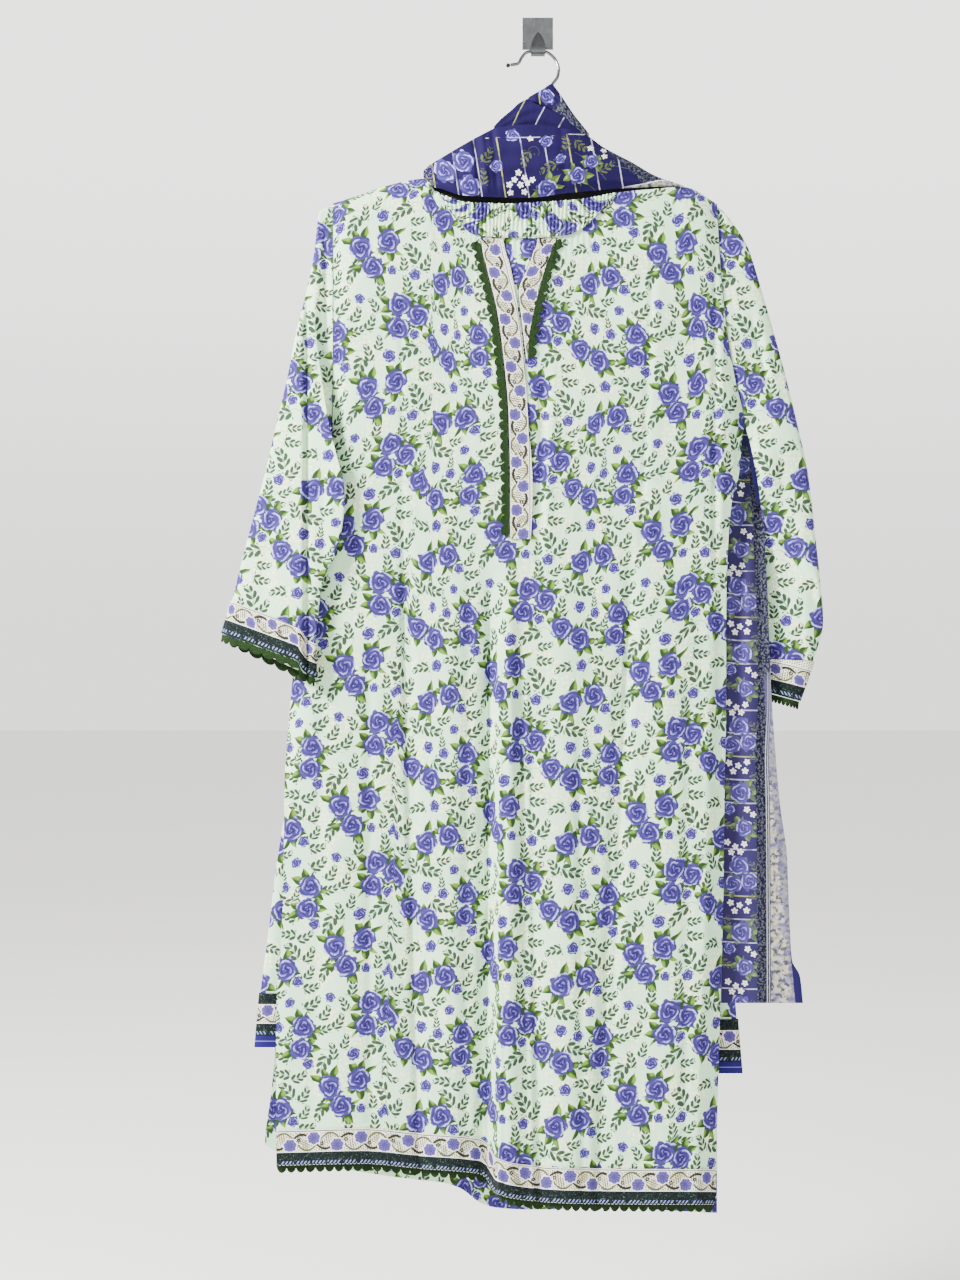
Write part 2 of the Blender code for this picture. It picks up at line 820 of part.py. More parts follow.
def add_kameez(floral, border, lace):
    sheet("kameez_front", front_surface, FRONT_COLUMNS, FRONT_ROWS, floral)
    sheet("kameez_back", back_surface, gathered(18, 0.5), BACK_ROWS, floral)

    band_start = NECK_EDGE["x"][0] + 4
    band_width = NECK_EDGE["x"][-1] - 3 - band_start

    def band_surface(across, down):
        x = band_start + band_width * across
        high = smooth(NECK_EDGE, "x", "drop", x)
        low = max(smooth(BAND_EDGE, "x", "drop", x), high + 1.5)
        drop = high + (low - high) * down
        return place(x, drop, front_depth(x, drop) + RISE + GATHER_HEIGHT)

    gathers = round(band_width / GATHER_PITCH)

    def gathered_band(across, down):
        height = GATHER_HEIGHT * math.cos(2 * math.pi * gathers * across) * (1 - 0.5 * down)
        return moved_out(band_surface, across, down, height)

    fine = np.linspace(0, 1, 2 * gathers + 1)
    sheet("neck_band", gathered_band, fine, np.linspace(0, 1, 3), floral, BAND_COTTON)

    def hem_border(across, down):
        x, drop = panel_spot(FRONT_SIDES, FRONT_TOP, FRONT_HEM, across, 1)
        length = drop - smooth(FRONT_TOP, "x", "drop", x)
        share = 1 - BORDER_HEIGHT / length * (1 - down)
        return moved_out(front_surface, across, share, RISE)

    sheet("hem_border", hem_border, FRONT_COLUMNS, np.linspace(0, 1, 3), border)

    def below_hem(across, down):
        edge = moved_out(front_surface, across, 1, -SET_BACK)
        return edge + Vector((0, 0, (LACE_TUCK - (LACE_TUCK + LACE_HEIGHT) * down) * MM))

    hem_width = FRONT_SIDES["right"][-1] - FRONT_SIDES["left"][-1]
    scallops = round(hem_width / SCALLOP_PITCH)
    cut = scalloped(below_hem, LACE_CUT, scallops)
    sheet("hem_lace", cut, np.linspace(0, 1, 3 * scallops + 1), np.array([0, 1]), lace)


def place_out(x, drop, distance):
    return moved_out(on_front, x, drop, distance)


def add_plackets(border, lace):
    for name, rows in (("placket_left", PLACKET_LEFT), ("placket_right", PLACKET_RIGHT)):

        def strip(across, down, rows=rows):
            drop = rows["drop"][0] + (rows["drop"][-1] - rows["drop"][0]) * down
            left = smooth(rows, "drop", "left", drop)
            right = smooth(rows, "drop", "right", drop)
            return left + (right - left) * across, drop

        def raised(across, down, strip=strip):
            return place_out(*strip(across, down), RISE)

        sheet(name, raised, np.linspace(0, 1, 4), np.linspace(0, 1, 13), border)

        outer = 0 if name == "placket_left" else 1
        away = -1 if name == "placket_left" else 1
        length = rows["drop"][-1] - rows["drop"][0]
        scallops = round(length / SCALLOP_PITCH)

        def trim(along, out, strip=strip, outer=outer, away=away):
            x, drop = strip(outer, 0.01 + 0.98 * along)
            return place_out(x + away * (WALL_SEAM + LACE_HEIGHT * out), drop, RISE)

        cut = scalloped(trim, LACE_CUT, scallops)
        lace_name = name.replace("placket", "placket_lace")
        sheet(lace_name, cut, np.linspace(0, 1, 3 * scallops + 1), np.array([0, 1]), lace)


def add_sleeves(floral, border, lace):
    sides = (
        ("left", left_sleeve, LEFT_SLEEVE, LEFT_BORDER_ROW, 1),
        ("right", right_sleeve, RIGHT_SLEEVE, RIGHT_BORDER_ROW, -1),
    )
    for side, surface, rows, border_row, way in sides:
        last = len(rows["out_x"]) - 1
        start = border_row / last
        round_it = gathered(20, 0)
        down_it = np.concatenate([np.linspace(0, start, 11), [(start + 1) / 2, 1]])
        sheet(f"sleeve_{side}", surface, round_it, down_it, floral, closed=True)

        def cuff(around, down, surface=surface, start=start, way=way):
            return moved_out(surface, around, min(start + (1 - start) * down, 0.999), way * RISE)

        sheet(f"cuff_border_{side}", cuff, round_it, np.linspace(0, 1, 3), border, closed=True)

        ends = [(surface(0, along) + surface(0.5, along)) / 2 for along in (0.95, 1)]
        arm = (ends[1] - ends[0]).normalized()

        def beyond(around, down, surface=surface, arm=arm):
            return surface(around, 1) + arm * (WALL_SEAM + (LACE_HEIGHT - WALL_SEAM) * down) * MM

        cut = scalloped(beyond, LACE_CUT, CUFF_SCALLOPS)
        around = np.linspace(0, 1, 3 * CUFF_SCALLOPS + 1)
        sheet(f"cuff_lace_{side}", cut, around, np.array([0, 1]), lace, closed=True)


def add_trousers(floral, border, casing):
    for side, rows in (("left", LEFT_LEG), ("right", RIGHT_LEG)):
        length = leg_length(rows)
        to_bar = (rows["drop"][-1] - BAR_DROP) / length
        over = to_bar + math.pi * LEG_BEND / length
        way = 1 if side == "left" else -1

        def leg(around, along, rows=rows):
            return leg_point(rows, around, along)

        rows_down = np.concatenate([np.linspace(0, to_bar, 9), np.linspace(to_bar, over, 7)[1:], [1]])
        columns = np.array([0, 0.15, 0.3, 0.4167, 0.46, 0.5, 0.54, 0.5833, 0.7, 0.85, 1])
        sheet(f"trousers_leg_{side}", leg, columns, rows_down, floral)

        def hem_band(around, along, leg=leg, length=length, way=way):
            return moved_out(leg, around, along * TROUSER_BORDER / length, way * RISE)

        sheet(f"trousers_hem_{side}", hem_band, columns, np.linspace(0, 1, 3), border)

    left = LEFT_LEG["outer"][0]
    right = RIGHT_LEG["outer"][0]

    def waist(around, down):
        turn = 2 * math.pi * around
        x = (left + right) / 2 - (right - left) / 2 * math.cos(turn)
        offset = LEG_HALF_GAP * math.copysign(min(1.0, 3 * abs(math.sin(turn))), math.sin(turn))
        drop = BAR_DROP + WAIST_FLAP + SEAM_GAP + CASING_HEIGHT * down
        return place(x, drop, HANGER_DEPTH + LEG_BEND + offset)

    sheet("trousers_waist", waist, gathered(18, 0), np.array([0, 1]), casing, closed=True)


def wrap_surface(rows, tuck, ridges):
    """A stretch of dupatta seen from in front: its edges turn back by `tuck`, with soft ridges along it."""

    def point(across, down):
        x = rows["x"][0] + (rows["x"][-1] - rows["x"][0]) * across
        top = smooth(rows, "x", "top", x)
        low = smooth(rows, "x", "low", x)
        depth = smooth(rows, "x", "depth", x)
        depth -= tuck * abs(2 * down - 1) ** 2.5 * min(1, 4 * across, 4 * (1 - across))
        depth += ridges * math.sin(7 * math.pi * down + 5 * across) * math.sin(math.pi * across)
        return place(x, top + (low - top) * down, depth)

    return point


def hanging_surface(rows, wave, waves):
    """A stretch of dupatta that hangs: flat against what is behind it, with soft upright waves."""

    def point(across, down):
        drop = rows["drop"][0] + (rows["drop"][-1] - rows["drop"][0]) * down
        left = smooth(rows, "drop", "left", drop)
        right = smooth(rows, "drop", "right", drop)
        depth = smooth(rows, "drop", "depth", drop)
        depth += wave * math.sin(2 * math.pi * waves * across + 1.5 * down) * step(0, 0.1, down)
        return place(left + (right - left) * across, drop, depth)

    return point


def add_dupatta(navy):
    sheet("dupatta_front", wrap_surface(COWL, 8, 1.0), gathered(20, 0.3), gathered(8, 0.2), navy)
    sheet("dupatta_roll", wrap_surface(ROLL, 3, 0.5), gathered(11, 0.2), gathered(4, 0), navy)
    sheet("dupatta_top", wrap_surface(CONE, 2, 0.3), gathered(11, 0.2), gathered(4, 0), navy)
    sheet("dupatta_back", wrap_surface(NECK_BACK, -3, 0.5), gathered(16, 0.3), gathered(6, 0), navy)
    sheet("dupatta_link", hanging_surface(LINK, 0.8, 2), gathered(8, 0), gathered(6, 0), navy)
    sheet("dupatta_tail_right", hanging_surface(TAIL_RIGHT, 1.3, 2), gathered(10, 0), gathered(16, 0), navy)
    sheet("dupatta_tail_left", hanging_surface(TAIL_LEFT, 1.0, 3), gathered(12, 0), gathered(7, 0), navy)


def main():
    for old in list(bpy.data.objects):
        bpy.data.objects.remove(old, do_unlink=True)
    bpy.context.scene.collection.children.link(bpy.data.collections.new(COLLECTION))

    steel = material("brushed_steel", (0.34, 0.35, 0.36), 0.4, 0.9)
    chrome = material("chrome_wire", (0.7, 0.71, 0.73), 0.2, 1.0)
    plastic = material("black_plastic", (0.02, 0.02, 0.022), 0.5)
    floral = material("mint_floral_cotton", (0.6, 0.76, 0.68), 0.85)
    border = material("vine_border_cotton", (0.5, 0.5, 0.52), 0.85)
    lace = material("green_lace", (0.06, 0.15, 0.03), 0.9)
    casing = material("mint_casing_cotton", (0.6, 0.76, 0.68), 0.85)
    navy = material("navy_dupatta_lawn", (0.05, 0.05, 0.25), 0.8)

    add_wall_hook(steel)
    add_hanger(chrome, plastic)
    add_kameez(floral, border, lace)
    add_plackets(border, lace)
    add_sleeves(floral, border, lace)
    add_trousers(floral, border, casing)
    add_dupatta(navy)


main()
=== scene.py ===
"""The looks of a printed cotton suit on its hanger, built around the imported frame.

The tables repeat the part's own forms: x is to the right of the wall hook's plate, drop is down from it and
depth is out from the wall, in millimetres, seen from in front on a plane 45 mm from the wall.
"""

import math

import bpy
import numpy as np
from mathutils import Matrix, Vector

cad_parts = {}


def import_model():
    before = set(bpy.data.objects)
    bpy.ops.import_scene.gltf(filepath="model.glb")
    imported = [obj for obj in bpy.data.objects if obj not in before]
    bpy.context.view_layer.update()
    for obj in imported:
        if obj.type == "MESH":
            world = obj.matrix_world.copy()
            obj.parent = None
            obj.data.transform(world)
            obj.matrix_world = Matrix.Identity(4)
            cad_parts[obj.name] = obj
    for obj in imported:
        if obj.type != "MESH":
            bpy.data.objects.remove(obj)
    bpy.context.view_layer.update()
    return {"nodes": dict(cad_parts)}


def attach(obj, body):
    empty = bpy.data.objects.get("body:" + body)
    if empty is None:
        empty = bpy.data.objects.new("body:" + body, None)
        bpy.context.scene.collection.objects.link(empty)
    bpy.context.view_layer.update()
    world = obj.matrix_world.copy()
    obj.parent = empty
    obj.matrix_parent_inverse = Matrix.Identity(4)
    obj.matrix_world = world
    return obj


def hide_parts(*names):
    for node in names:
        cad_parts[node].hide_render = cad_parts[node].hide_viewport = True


MM = 0.001

# the point that the tables were read from, which is also the camera
EYE_X = -59.0
EYE_DROP = 622.0
EYE_DISTANCE = 1700.0
TABLE_DEPTH = 45.0
SENSOR = 36.0
PHOTO_HEIGHT = 1280.0

COTTON = 0.5
RISE = 1.9
HANGER_DEPTH = 25.0
BAR_RADIUS = 3.0
BAR_DROP = 282.0
SHOULDER_DROP = 187.0
ARMPIT_DROP = 407.0
SLIT_DROP = 742.0
HEM_DROP = 1150.0
CHEST_DEPTH = 38.0
BACK_DEPTH = 12.5
ARMHOLE_HALF_DEPTH = 8.0
LEFT_SEAM_DEPTH = 24.0
RIGHT_SEAM_DEPTH = 32.0
SLIT_FRONT_DEPTH = 33.0
SLIT_BACK_DEPTH = 10.5
LEG_HALF_GAP = 2.0
LEG_BEND = LEG_HALF_GAP + 0.6 + 0.6 + BAR_RADIUS
WAIST_FLAP = 170.0
CASING_HEIGHT = 35.0
TROUSER_BORDER = 54.0
BORDER_HEIGHT = 36.0
LACE_CUT = 0.5
LACE_WALL = 0.7
SCALLOP_COLUMNS = 12
WIRE_RADIUS = 1.65
SEAM_RADIUS = 0.5
FINE_FADE = 60.0
ARM_FADE = 30.0
FLOOR_LEVEL = -1.46
FLOOR_HALF = 14.0


def table(columns, *rows):
    return dict(zip(columns.split(), np.array(rows, float).T))


# both panels have these edges down to the hips
SIDE_ROWS = (
    (185, -206, 178), (240, -206, 181), (300, -206, 186.5), (360, -206, 196), (407, -207, 205.5), (420, -212, 203),
    (458, -222, 199.5), (485, -226, 192.5), (532, -231, 188.7), (600, -240, 187), (685, -248.5, 187),
)
FRONT_SIDES = table("drop left right",
    *SIDE_ROWS, (771, -254.5, 185.5),
    (860, -255.5, 184.5), (928, -258, 183), (976, -262, 181.5), (1033, -263, 180), (1195, -262, 175.5),
)
FRONT_TOP = table("x drop",
    (-208, 186), (-109, 160.5), (-106, 171), (-92, 183), (-74, 201), (-54, 209), (-14, 211), (29, 208), (48, 197),
    (64, 183), (80, 174.5), (110, 171.5), (144, 169), (179, 186.5),
)
FRONT_HEM = table("x drop",
    (-264, 1148), (-175, 1146), (-117, 1151), (-60, 1156), (-50, 1163), (-41, 1176), (-18, 1182), (43, 1186),
    (177, 1187),
)
BACK_SIDES = table("drop left right",
    *SIDE_ROWS, (742, -252.5, 186),
    (860, -256, 182), (1035, -264, 178.5), (1072, -267.5, 178), (1126, -274, 178), (1195, -274, 178),
)
BACK_TOP = table("x drop",
    (-208, 186), (-109, 160.5), (-104, 166), (-60, 175), (10, 178), (90, 176), (136, 171), (144, 169), (179, 186.5),
)
BACK_HEM = table("x drop",
    (-275, 1126), (-262, 1134), (-200, 1150), (-119, 1162), (-99, 1164), (-79, 1170), (-58, 1185), (-43, 1189.5),
    (-12, 1191.5), (60, 1190), (179, 1195),
)
FADE = 120.0
FRONT_FOLDS = table("top_x top_drop low_x low_drop width height",
    (-45, 522, -53, 1180, 12, -9), (-31, 522, -31, 1180, 13, 7), (-22, 560, 2, 1180, 8, -4),
    (94, 500, 60, 1180, 8, -6), (-135, 470, -117, 1180, 7, -3), (24, 520, 30, 1180, 22, 5),
    (132, 520, 122, 1180, 24, 4), (-92, 520, -88, 1180, 20, 4), (-198, 700, -200, 1180, 22, 3),
)
# fine creases and soft ridges that the solids leave out
FRONT_CREASES = table("top_x top_drop low_x low_drop width height",
    (6, 330, 0, 560, 5, -2.6), (14, 330, 8, 560, 6, 1.2), (116, 190, 101, 560, 2.6, -1.8),
    (124, 190, 109, 560, 8, 0.8), (177, 206, 176, 600, 3.4, -3.0), (183, 206, 183, 560, 3.5, 1.2),
    (-206, 200, -200, 470, 5, -1.6), (-138, 260, -135, 640, 2.0, -1.5), (-137, 560, -120, 1180, 2.2, -1.7),
    (-40, 600, -39, 1180, 3.0, 3.8), (-50, 560, -50, 1180, 3.0, -3.0), (-13, 620, -6, 1180, 3.0, 2.4),
    (86, 560, 64, 1180, 3.0, 2.6), (176, 500, 166, 1180, 5, 1.6), (184, 500, 176, 1180, 5, -1.6),
    (40, 700, 44, 1180, 5, -2.2), (150, 640, 146, 1180, 5, -1.8), (-170, 600, -168, 1180, 5, -2.0),
    (-214, 520, -226, 1180, 6, -1.2), (-70, 540, -74, 1180, 6, -2.2),
)
NECK_EDGE = table("x drop",
    (-108, 171), (-96, 176.6), (-74.4, 183.8), (-33.3, 185.6), (6, 183.8), (41.7, 181), (75.6, 175), (80, 174.5),
)
BAND_EDGE = table("x drop",
    (-108, 172), (-99, 178), (-92, 189), (-83, 201), (-74, 211), (-66, 216), (-54, 218), (-14, 220), (29, 217),
    (43, 210), (56, 200), (67, 187), (76, 177), (80, 175.5),
)
PLACKET_LEFT = table("drop left right",
    (221, -60, -37), (257, -51, -27), (295, -42, -21), (336, -36.4, -15.6), (397, -31, -11.4), (474, -29.3, -6.4),
    (521, -29.3, -8.4),
)
PLACKET_RIGHT = table("drop left right",
    (221, -1.2, 16.6), (249, -11.4, 6.4), (275, -21, -1), (287, -19.8, -4), (321, -15.8, -10.4), (341, -13.4, -11.8),
)
LEFT_SLEEVE = table("out_x out_drop in_x in_drop out_depth in_depth gap bow",
    (-207.6, 187.5, -208.2, 406.5, 25, 25, 1, 0), (-219, 194, -211.5, 413, 25, 26, 15, 0),
    (-225, 237, -215, 424, 26, 34, 13, 0), (-232, 272, -205, 440, 28, 46, 10, 0),
    (-242.5, 314, -196, 462, 29, 49, 9, 0), (-251, 357, -194.5, 483, 29, 49, 9, 0),
    (-264, 413, -197, 508, 29, 49, 9, 0), (-272, 448, -203, 533, 29, 49, 9, 0), (-283, 490, -217, 566, 29, 48, 10, 0),
    (-295, 535, -221, 598, 29, 48, 10, 0), (-307, 583, -223.5, 626, 29, 48, 11, 0),
    (-316.5, 615.6, -224, 660, 29, 48, 12, 0),
)
RIGHT_SLEEVE = table("out_x out_drop in_x in_drop out_depth in_depth gap bow",
    (180.6, 188.5, 207.8, 406.5, 25, 25, 1, -6), (187, 197, 208, 413, 25, 25, 15, -5),
    (197, 210, 210, 420, 26, 25, 15, -3), (208, 228, 212, 428, 27, 25, 14, 0), (226, 285, 214.5, 440, 27, 25, 14, 0),
    (244, 349, 217.5, 455, 27, 24, 13, 0), (258, 406, 220.5, 474, 25, 22, 13, 0), (269, 457, 223, 500, 23, 14, 12, 0),
    (276, 517, 225, 538, 20, 9, 12, 0), (281, 563, 226.5, 578, 18, 9, 13, 0), (284, 603, 228, 615, 17, 9, 14, 0),
    (274, 643, 230, 641, 16, 9, 15, 0), (260, 683, 231, 675, 15, 9, 15, 0),
)
RIGHT_ARM_FOLDS = table("top_x top_drop low_x low_drop width height",
    (210, 290, 236, 392, 3.0, -2.2), (217, 280, 243, 400, 5.0, 2.0), (240, 420, 252, 620, 6.0, -1.4),
    (262, 470, 270, 660, 6.0, 1.4),
)
LEFT_ARM_FOLDS = table("top_x top_drop low_x low_drop width height",
    (-214, 205, -211, 340, 3.0, -2.2), (-222, 230, -228, 420, 5.0, 1.6), (-262, 460, -280, 610, 6.0, -1.2),
    (-216, 440, -214, 600, 5.0, -1.4),
)
SLEEVE_TUCK = 2.8
LEFT_BORDER_ROW = 10
RIGHT_BORDER_ROW = 11
LEFT_FOLD_X = -235.0
RIGHT_FOLD = table("drop x",
    (440, 214), (453, 220.6), (487, 236), (520, 256), (542, 263), (582, 279), (603, 284), (690, 300),
)
LEFT_LEG = table("drop outer inner",
    (BAR_DROP, -180, -12), (400, -194, -11.5), (600, -222, -20), (740, -241, -28), (800, -254.5, -32),
    (849, -262.5, -34), (913, -270.3, -38), (972, -278, -41), (1029, -283, -44),
)
RIGHT_LEG = table("drop outer inner",
    (BAR_DROP, 158, -10), (400, 165, -10.5), (600, 171, -16), (740, 175, -20), (800, 179, -22), (913, 190, -28),
    (1055, 202, -36),
)
HOOK_WIRE = table("x drop depth",
    (-28.5, 47, 21), (-21, 45.5, 20), (-17.4, 39.7, 19), (-12.5, 34.6, 18), (-2, 32.6, 17.5), (7, 34, 18),
    (12.7, 37.5, 19), (17.6, 43.9, 20), (19.7, 51.6, 21.5), (18.7, 58.6, 22.5), (15.5, 63.5, 23.3), (12.9, 67.5, 24),
    (12, 80, 25), (11, 130.7, 25),
)
TONGUE = table("depth drop half_width",
    (2.4, 13, 7), (3.4, 18, 7), (8, 24.2, 7), (14, 27, 7), (19, 26.7, 7), (22.3, 23, 7), (23.2, 18, 6.8),
    (23.2, 13.5, 5.2), (23.2, 9.5, 3), (23.2, 6.8, 0.8),
)
COWL = table("x top low depth",
    (-115.5, 153, 159, 28), (-109.6, 147.5, 167.6, 33), (-96, 139, 171.3, 39), (-79, 128.8, 176.8, 44),
    (-59, 117.7, 178.5, 47), (-40, 109.3, 179.2, 49), (-10, 106.6, 179.6, 50), (28, 111, 175, 50),
    (45, 116, 173.5, 48), (65, 129.7, 171.6, 46), (93, 144.5, 169.8, 42), (117, 158.3, 168.6, 37),
    (137, 165.2, 168.2, 33), (144.5, 167.8, 169, 31),
)
COWL_CREASES = ((-84, 3.0, -1.6), (-64, 2.6, -2.6), (-57, 2.2, 1.6), (-47, 2.4, -1.8), (22, 4.0, -1.0))
ROLL = table("x top low depth",
    (-45, 108.4, 118, 35.4), (-38, 101, 121, 36.4), (-27, 91.8, 121, 36.4), (-20, 85.3, 120, 36.4),
    (-10.6, 80.7, 119, 36.4), (0, 79, 119, 36.4), (12, 85, 120, 36.4), (24.5, 93, 122, 36.4), (37.5, 104, 124, 36.4),
    (46, 113, 126, 35.4),
)
CONE = table("x top low depth",
    (-10.6, 79.5, 81.5, 38), (-3, 75, 84, 41), (5, 70.5, 88, 40), (12.5, 66, 91, 40), (17, 70.5, 94, 40),
    (24.5, 81, 98.5, 41), (34, 95.5, 107, 42), (43, 107, 114, 42), (50, 115.5, 119.5, 41),
)
NECK_BACK = table("x top low depth",
    (-111, 151, 176, 13), (-96, 141, 196, 8), (-59, 120, 199, 8), (-25, 95, 200, 8), (12, 70, 200, 8),
    (34, 98, 200, 8), (55, 125, 199, 8), (93, 146, 197, 8), (130, 164, 192, 8), (141, 168.5, 184, 13),
)
LINK = table("drop left right depth",
    (200.6, 40, 118, 11), (230, 66, 136, 5.5), (290, 118, 170, 5), (350, 162, 198, 5), (405, 200, 215, 6.5),
)
TAIL_RIGHT = table("drop left right depth",
    (405.6, 203, 214, 7), (430, 202, 220, 9), (455, 196, 222.5, 11), (480, 190, 224, 14), (510, 186, 225.5, 18),
    (545, 185, 227, 22), (586, 184.6, 229, 24), (617, 184.4, 230, 25.5), (678, 184.4, 232.6, 26),
    (742, 183.5, 237, 26), (790, 179, 241.5, 26), (837, 176, 248, 26), (888, 174.5, 250, 26), (942, 173.5, 253, 26.5),
    (958, 173, 261, 26.5), (985, 173, 264, 26.5),
)
TAIL_LEFT = table("drop left right depth",
    (200.6, -88, -12, 11), (240, -100, -4, 5.5), (500, -108, -2, 5), (990, -118, 8, 5),
)
# where the printed edge of the hanging end runs
TAIL_EDGE = table("drop x",
    (405, 222.5), (455, 222.5), (480, 224), (510, 225.5), (545, 227), (586, 229), (617, 230), (678, 230.5),
    (742, 228), (790, 229), (985, 230),
)


# forms
def smooth(rows, key, column, value):
    """A column of a table where its column `key` has these values, on a soft curve through the rows."""
    xs = rows[key]
    ys = rows[column]
    slopes = np.diff(ys) / np.diff(xs)
    before = np.concatenate([slopes[:1], slopes])
    after = np.concatenate([slopes, slopes[-1:]])
    product = before * after
    total = np.where(product > 0, before + after, 1.0)
    tangents = np.where(product > 0, 2 * product / total, 0.0)
    value = np.clip(value, xs[0], xs[-1])
    i = np.clip(np.searchsorted(xs, value) - 1, 0, len(xs) - 2)
    span = xs[i + 1] - xs[i]
    t = (value - xs[i]) / span
    start = ys[i] * (1 + 2 * t) * (1 - t) ** 2 + span * tangents[i] * t * (1 - t) ** 2
    return start + ys[i + 1] * t * t * (3 - 2 * t) - span * tangents[i + 1] * t * t * (1 - t)


def step(low, high, value):
    t = np.clip((value - low) / (high - low), 0.0, 1.0)
    return t * t * (3 - 2 * t)


def place(x, drop, depth):
    """The real places, in metres, of points of the tables."""
    reach = (EYE_DISTANCE + TABLE_DEPTH - depth) / EYE_DISTANCE
    real_x = EYE_X + (x - EYE_X) * reach
    real_drop = EYE_DROP + (drop - EYE_DROP) * reach
    return np.stack(np.broadcast_arrays(real_x, -depth, -real_drop), axis=-1) * MM


def even(count):
    return np.linspace(0, 1, count)


def sides_at(rows, drop):
    return smooth(rows, "drop", "left", drop), smooth(rows, "drop", "right", drop)


def strip_spot(rows, across, down):
    """x and drop at shares of a strip's width and of its height."""
    drop = rows["drop"][0] + (rows["drop"][-1] - rows["drop"][0]) * down
    left, right = sides_at(rows, drop)
    return left + (right - left) * across, drop


def moved_out(surface, a, b, distance):
    """Points of a surface moved along its normal, to the side that faces the room at the front."""
    nudge = 1e-3
    along_a = surface(a + nudge, b) - surface(a - nudge, b)
    along_b = surface(a, b + nudge) - surface(a, b - nudge)
    normal = np.cross(along_b, along_a)
    normal /= np.maximum(np.linalg.norm(normal, axis=-1, keepdims=True), 1e-12)
    distance = np.asarray(distance, float)
    return surface(a, b) + normal * (distance[..., None] if distance.ndim else distance) * MM


def armhole_spread(drop):
    share = np.clip((drop - SHOULDER_DROP) / (ARMPIT_DROP - SHOULDER_DROP), 0.0, 1.0)
    return 1.0 + ARMHOLE_HALF_DEPTH * np.sin(math.pi * share) ** 0.6


def side_depth(drop, right, front):
    way = 1 if front else -1
    seam_depth = RIGHT_SEAM_DEPTH if right else LEFT_SEAM_DEPTH
    armhole = HANGER_DEPTH + way * armhole_spread(drop)
    seam = HANGER_DEPTH + (seam_depth - HANGER_DEPTH) * step(ARMPIT_DROP, 490, drop)
    free = SLIT_FRONT_DEPTH if front else SLIT_BACK_DEPTH
    opened = step(SLIT_DROP, SLIT_DROP + 40, drop)
    return np.where(drop < ARMPIT_DROP, armhole, (seam + way) * (1 - opened) + free * opened)


def fold_height(folds, fade, x, drop):
    total = 0.0
    for top_x, top_drop, low_x, low_drop, width, height in zip(*folds.values()):
        share = (drop - top_drop) / (low_drop - top_drop)
        centre = top_x + (low_x - top_x) * share
        ends = step(0, fade, drop - top_drop) * (1 if low_drop > 1000 else 1 - step(-fade, 0, drop - low_drop))
        total = total + height * ends * np.exp(-(((x - centre) / width) ** 2))
    return total


def ripple(x, drop, seed):
    """A millimetre of soft unevenness, long in the upright direction."""
    total = 0.0
    draw = np.random.default_rng(seed)
    for _ in range(14):
        wide = draw.uniform(18, 60)
        tall = draw.uniform(120, 420)
        lean = draw.uniform(-0.25, 0.25)
        phase = draw.uniform(0, 2 * math.pi, 2)
        total = total + np.sin((x + lean * drop) / wide * 2 + phase[0]) * np.sin(drop / tall * 3 + phase[1])
    return total / 6


def front_depth(x, drop):
    left, right = sides_at(FRONT_SIDES, drop)
    low = step(420, 1150, drop)
    middle = CHEST_DEPTH - 3 * low + 12 * low * step(-62, -34, x) + fold_height(FRONT_FOLDS, FADE, x, drop)
    middle = middle + fold_height(FRONT_CREASES, FINE_FADE, x, drop) + 1.6 * ripple(x, drop, 4)
    gather = 1 - np.abs(np.sin(math.pi * (x / 5.3 + 0.3 * np.sin(x / 11.0))))
    near_band = np.exp(-np.maximum(drop - 222, 0.0) / 13) * step(-82, -64, x) * (1 - step(50, 66, x))
    middle = middle + 1.3 * gather * near_band * step(205, 222, drop)
    below_edge = np.maximum(drop - smooth(FRONT_TOP, "x", "drop", x), 0.0)
    shoulder = 1 - step(-112, -100, x) + step(136, 146, x)
    middle = middle - shoulder * (middle - HANGER_DEPTH - 1) * np.exp(-below_edge / 6)
    middle = middle - (1 - shoulder) * 2.5 * np.exp(-below_edge / 40)
    for edge, is_right in ((x - left, False), (right - x, True)):
        side = side_depth(drop, is_right, True)
        share = np.exp(-((np.maximum(edge, 0.0) / 15) ** 1.3) * 2)
        if is_right:
            folded = np.clip(1 - edge / 19, 0.0, 1.0)
            share = share + (folded - share) * step(480, 560, drop)
        middle = middle + (side - middle) * share
    return middle


def back_depth(x, drop):
    left, right = sides_at(BACK_SIDES, drop)
    low = step(500, 1150, drop)
    middle = BACK_DEPTH - 2 * low + 1.2 * low * np.sin((x + 40) / 26) + 0.5 * ripple(x, drop, 9)
    below_edge = np.maximum(drop - smooth(BACK_TOP, "x", "drop", x), 0.0)
    shoulder = 1 - step(-112, -100, x) + step(136, 146, x)
    middle = middle - shoulder * (middle - HANGER_DEPTH + 1) * np.exp(-below_edge / 7)
    middle = middle + (1 - shoulder) * 5 * np.exp(-below_edge / 30)
    for edge, is_right in ((x - left, False), (right - x, True)):
        side = side_depth(drop, is_right, False)
        middle = middle + (side - middle) * np.exp(-((np.maximum(edge, 0.0) / 15) ** 1.3) * 3)
    return middle


def panel_spot(sides, top, hem, across, down):
    """x and drop at shares of a panel's width and of its length."""
    drop = SHOULDER_DROP + (HEM_DROP - SHOULDER_DROP) * down
    for _ in range(4):
        left, right = sides_at(sides, drop)
        x = left + (right - left) * across
        high = smooth(top, "x", "drop", x)
        drop = high + (smooth(hem, "x", "drop", x) - high) * down
    return x, drop


def front_surface(across, down):
    x, drop = panel_spot(FRONT_SIDES, FRONT_TOP, FRONT_HEM, across, down)
    return place(x, drop, front_depth(x, drop))


def back_surface(across, down):
    x, drop = panel_spot(BACK_SIDES, BACK_TOP, BACK_HEM, across, down)
    return place(x, drop, back_depth(x, drop))


def on_front(x, drop):
    return place(x, drop, front_depth(x, drop))


def numbered(rows):
    count = len(next(iter(rows.values())))
    return dict(rows, row=np.arange(count, dtype=float))


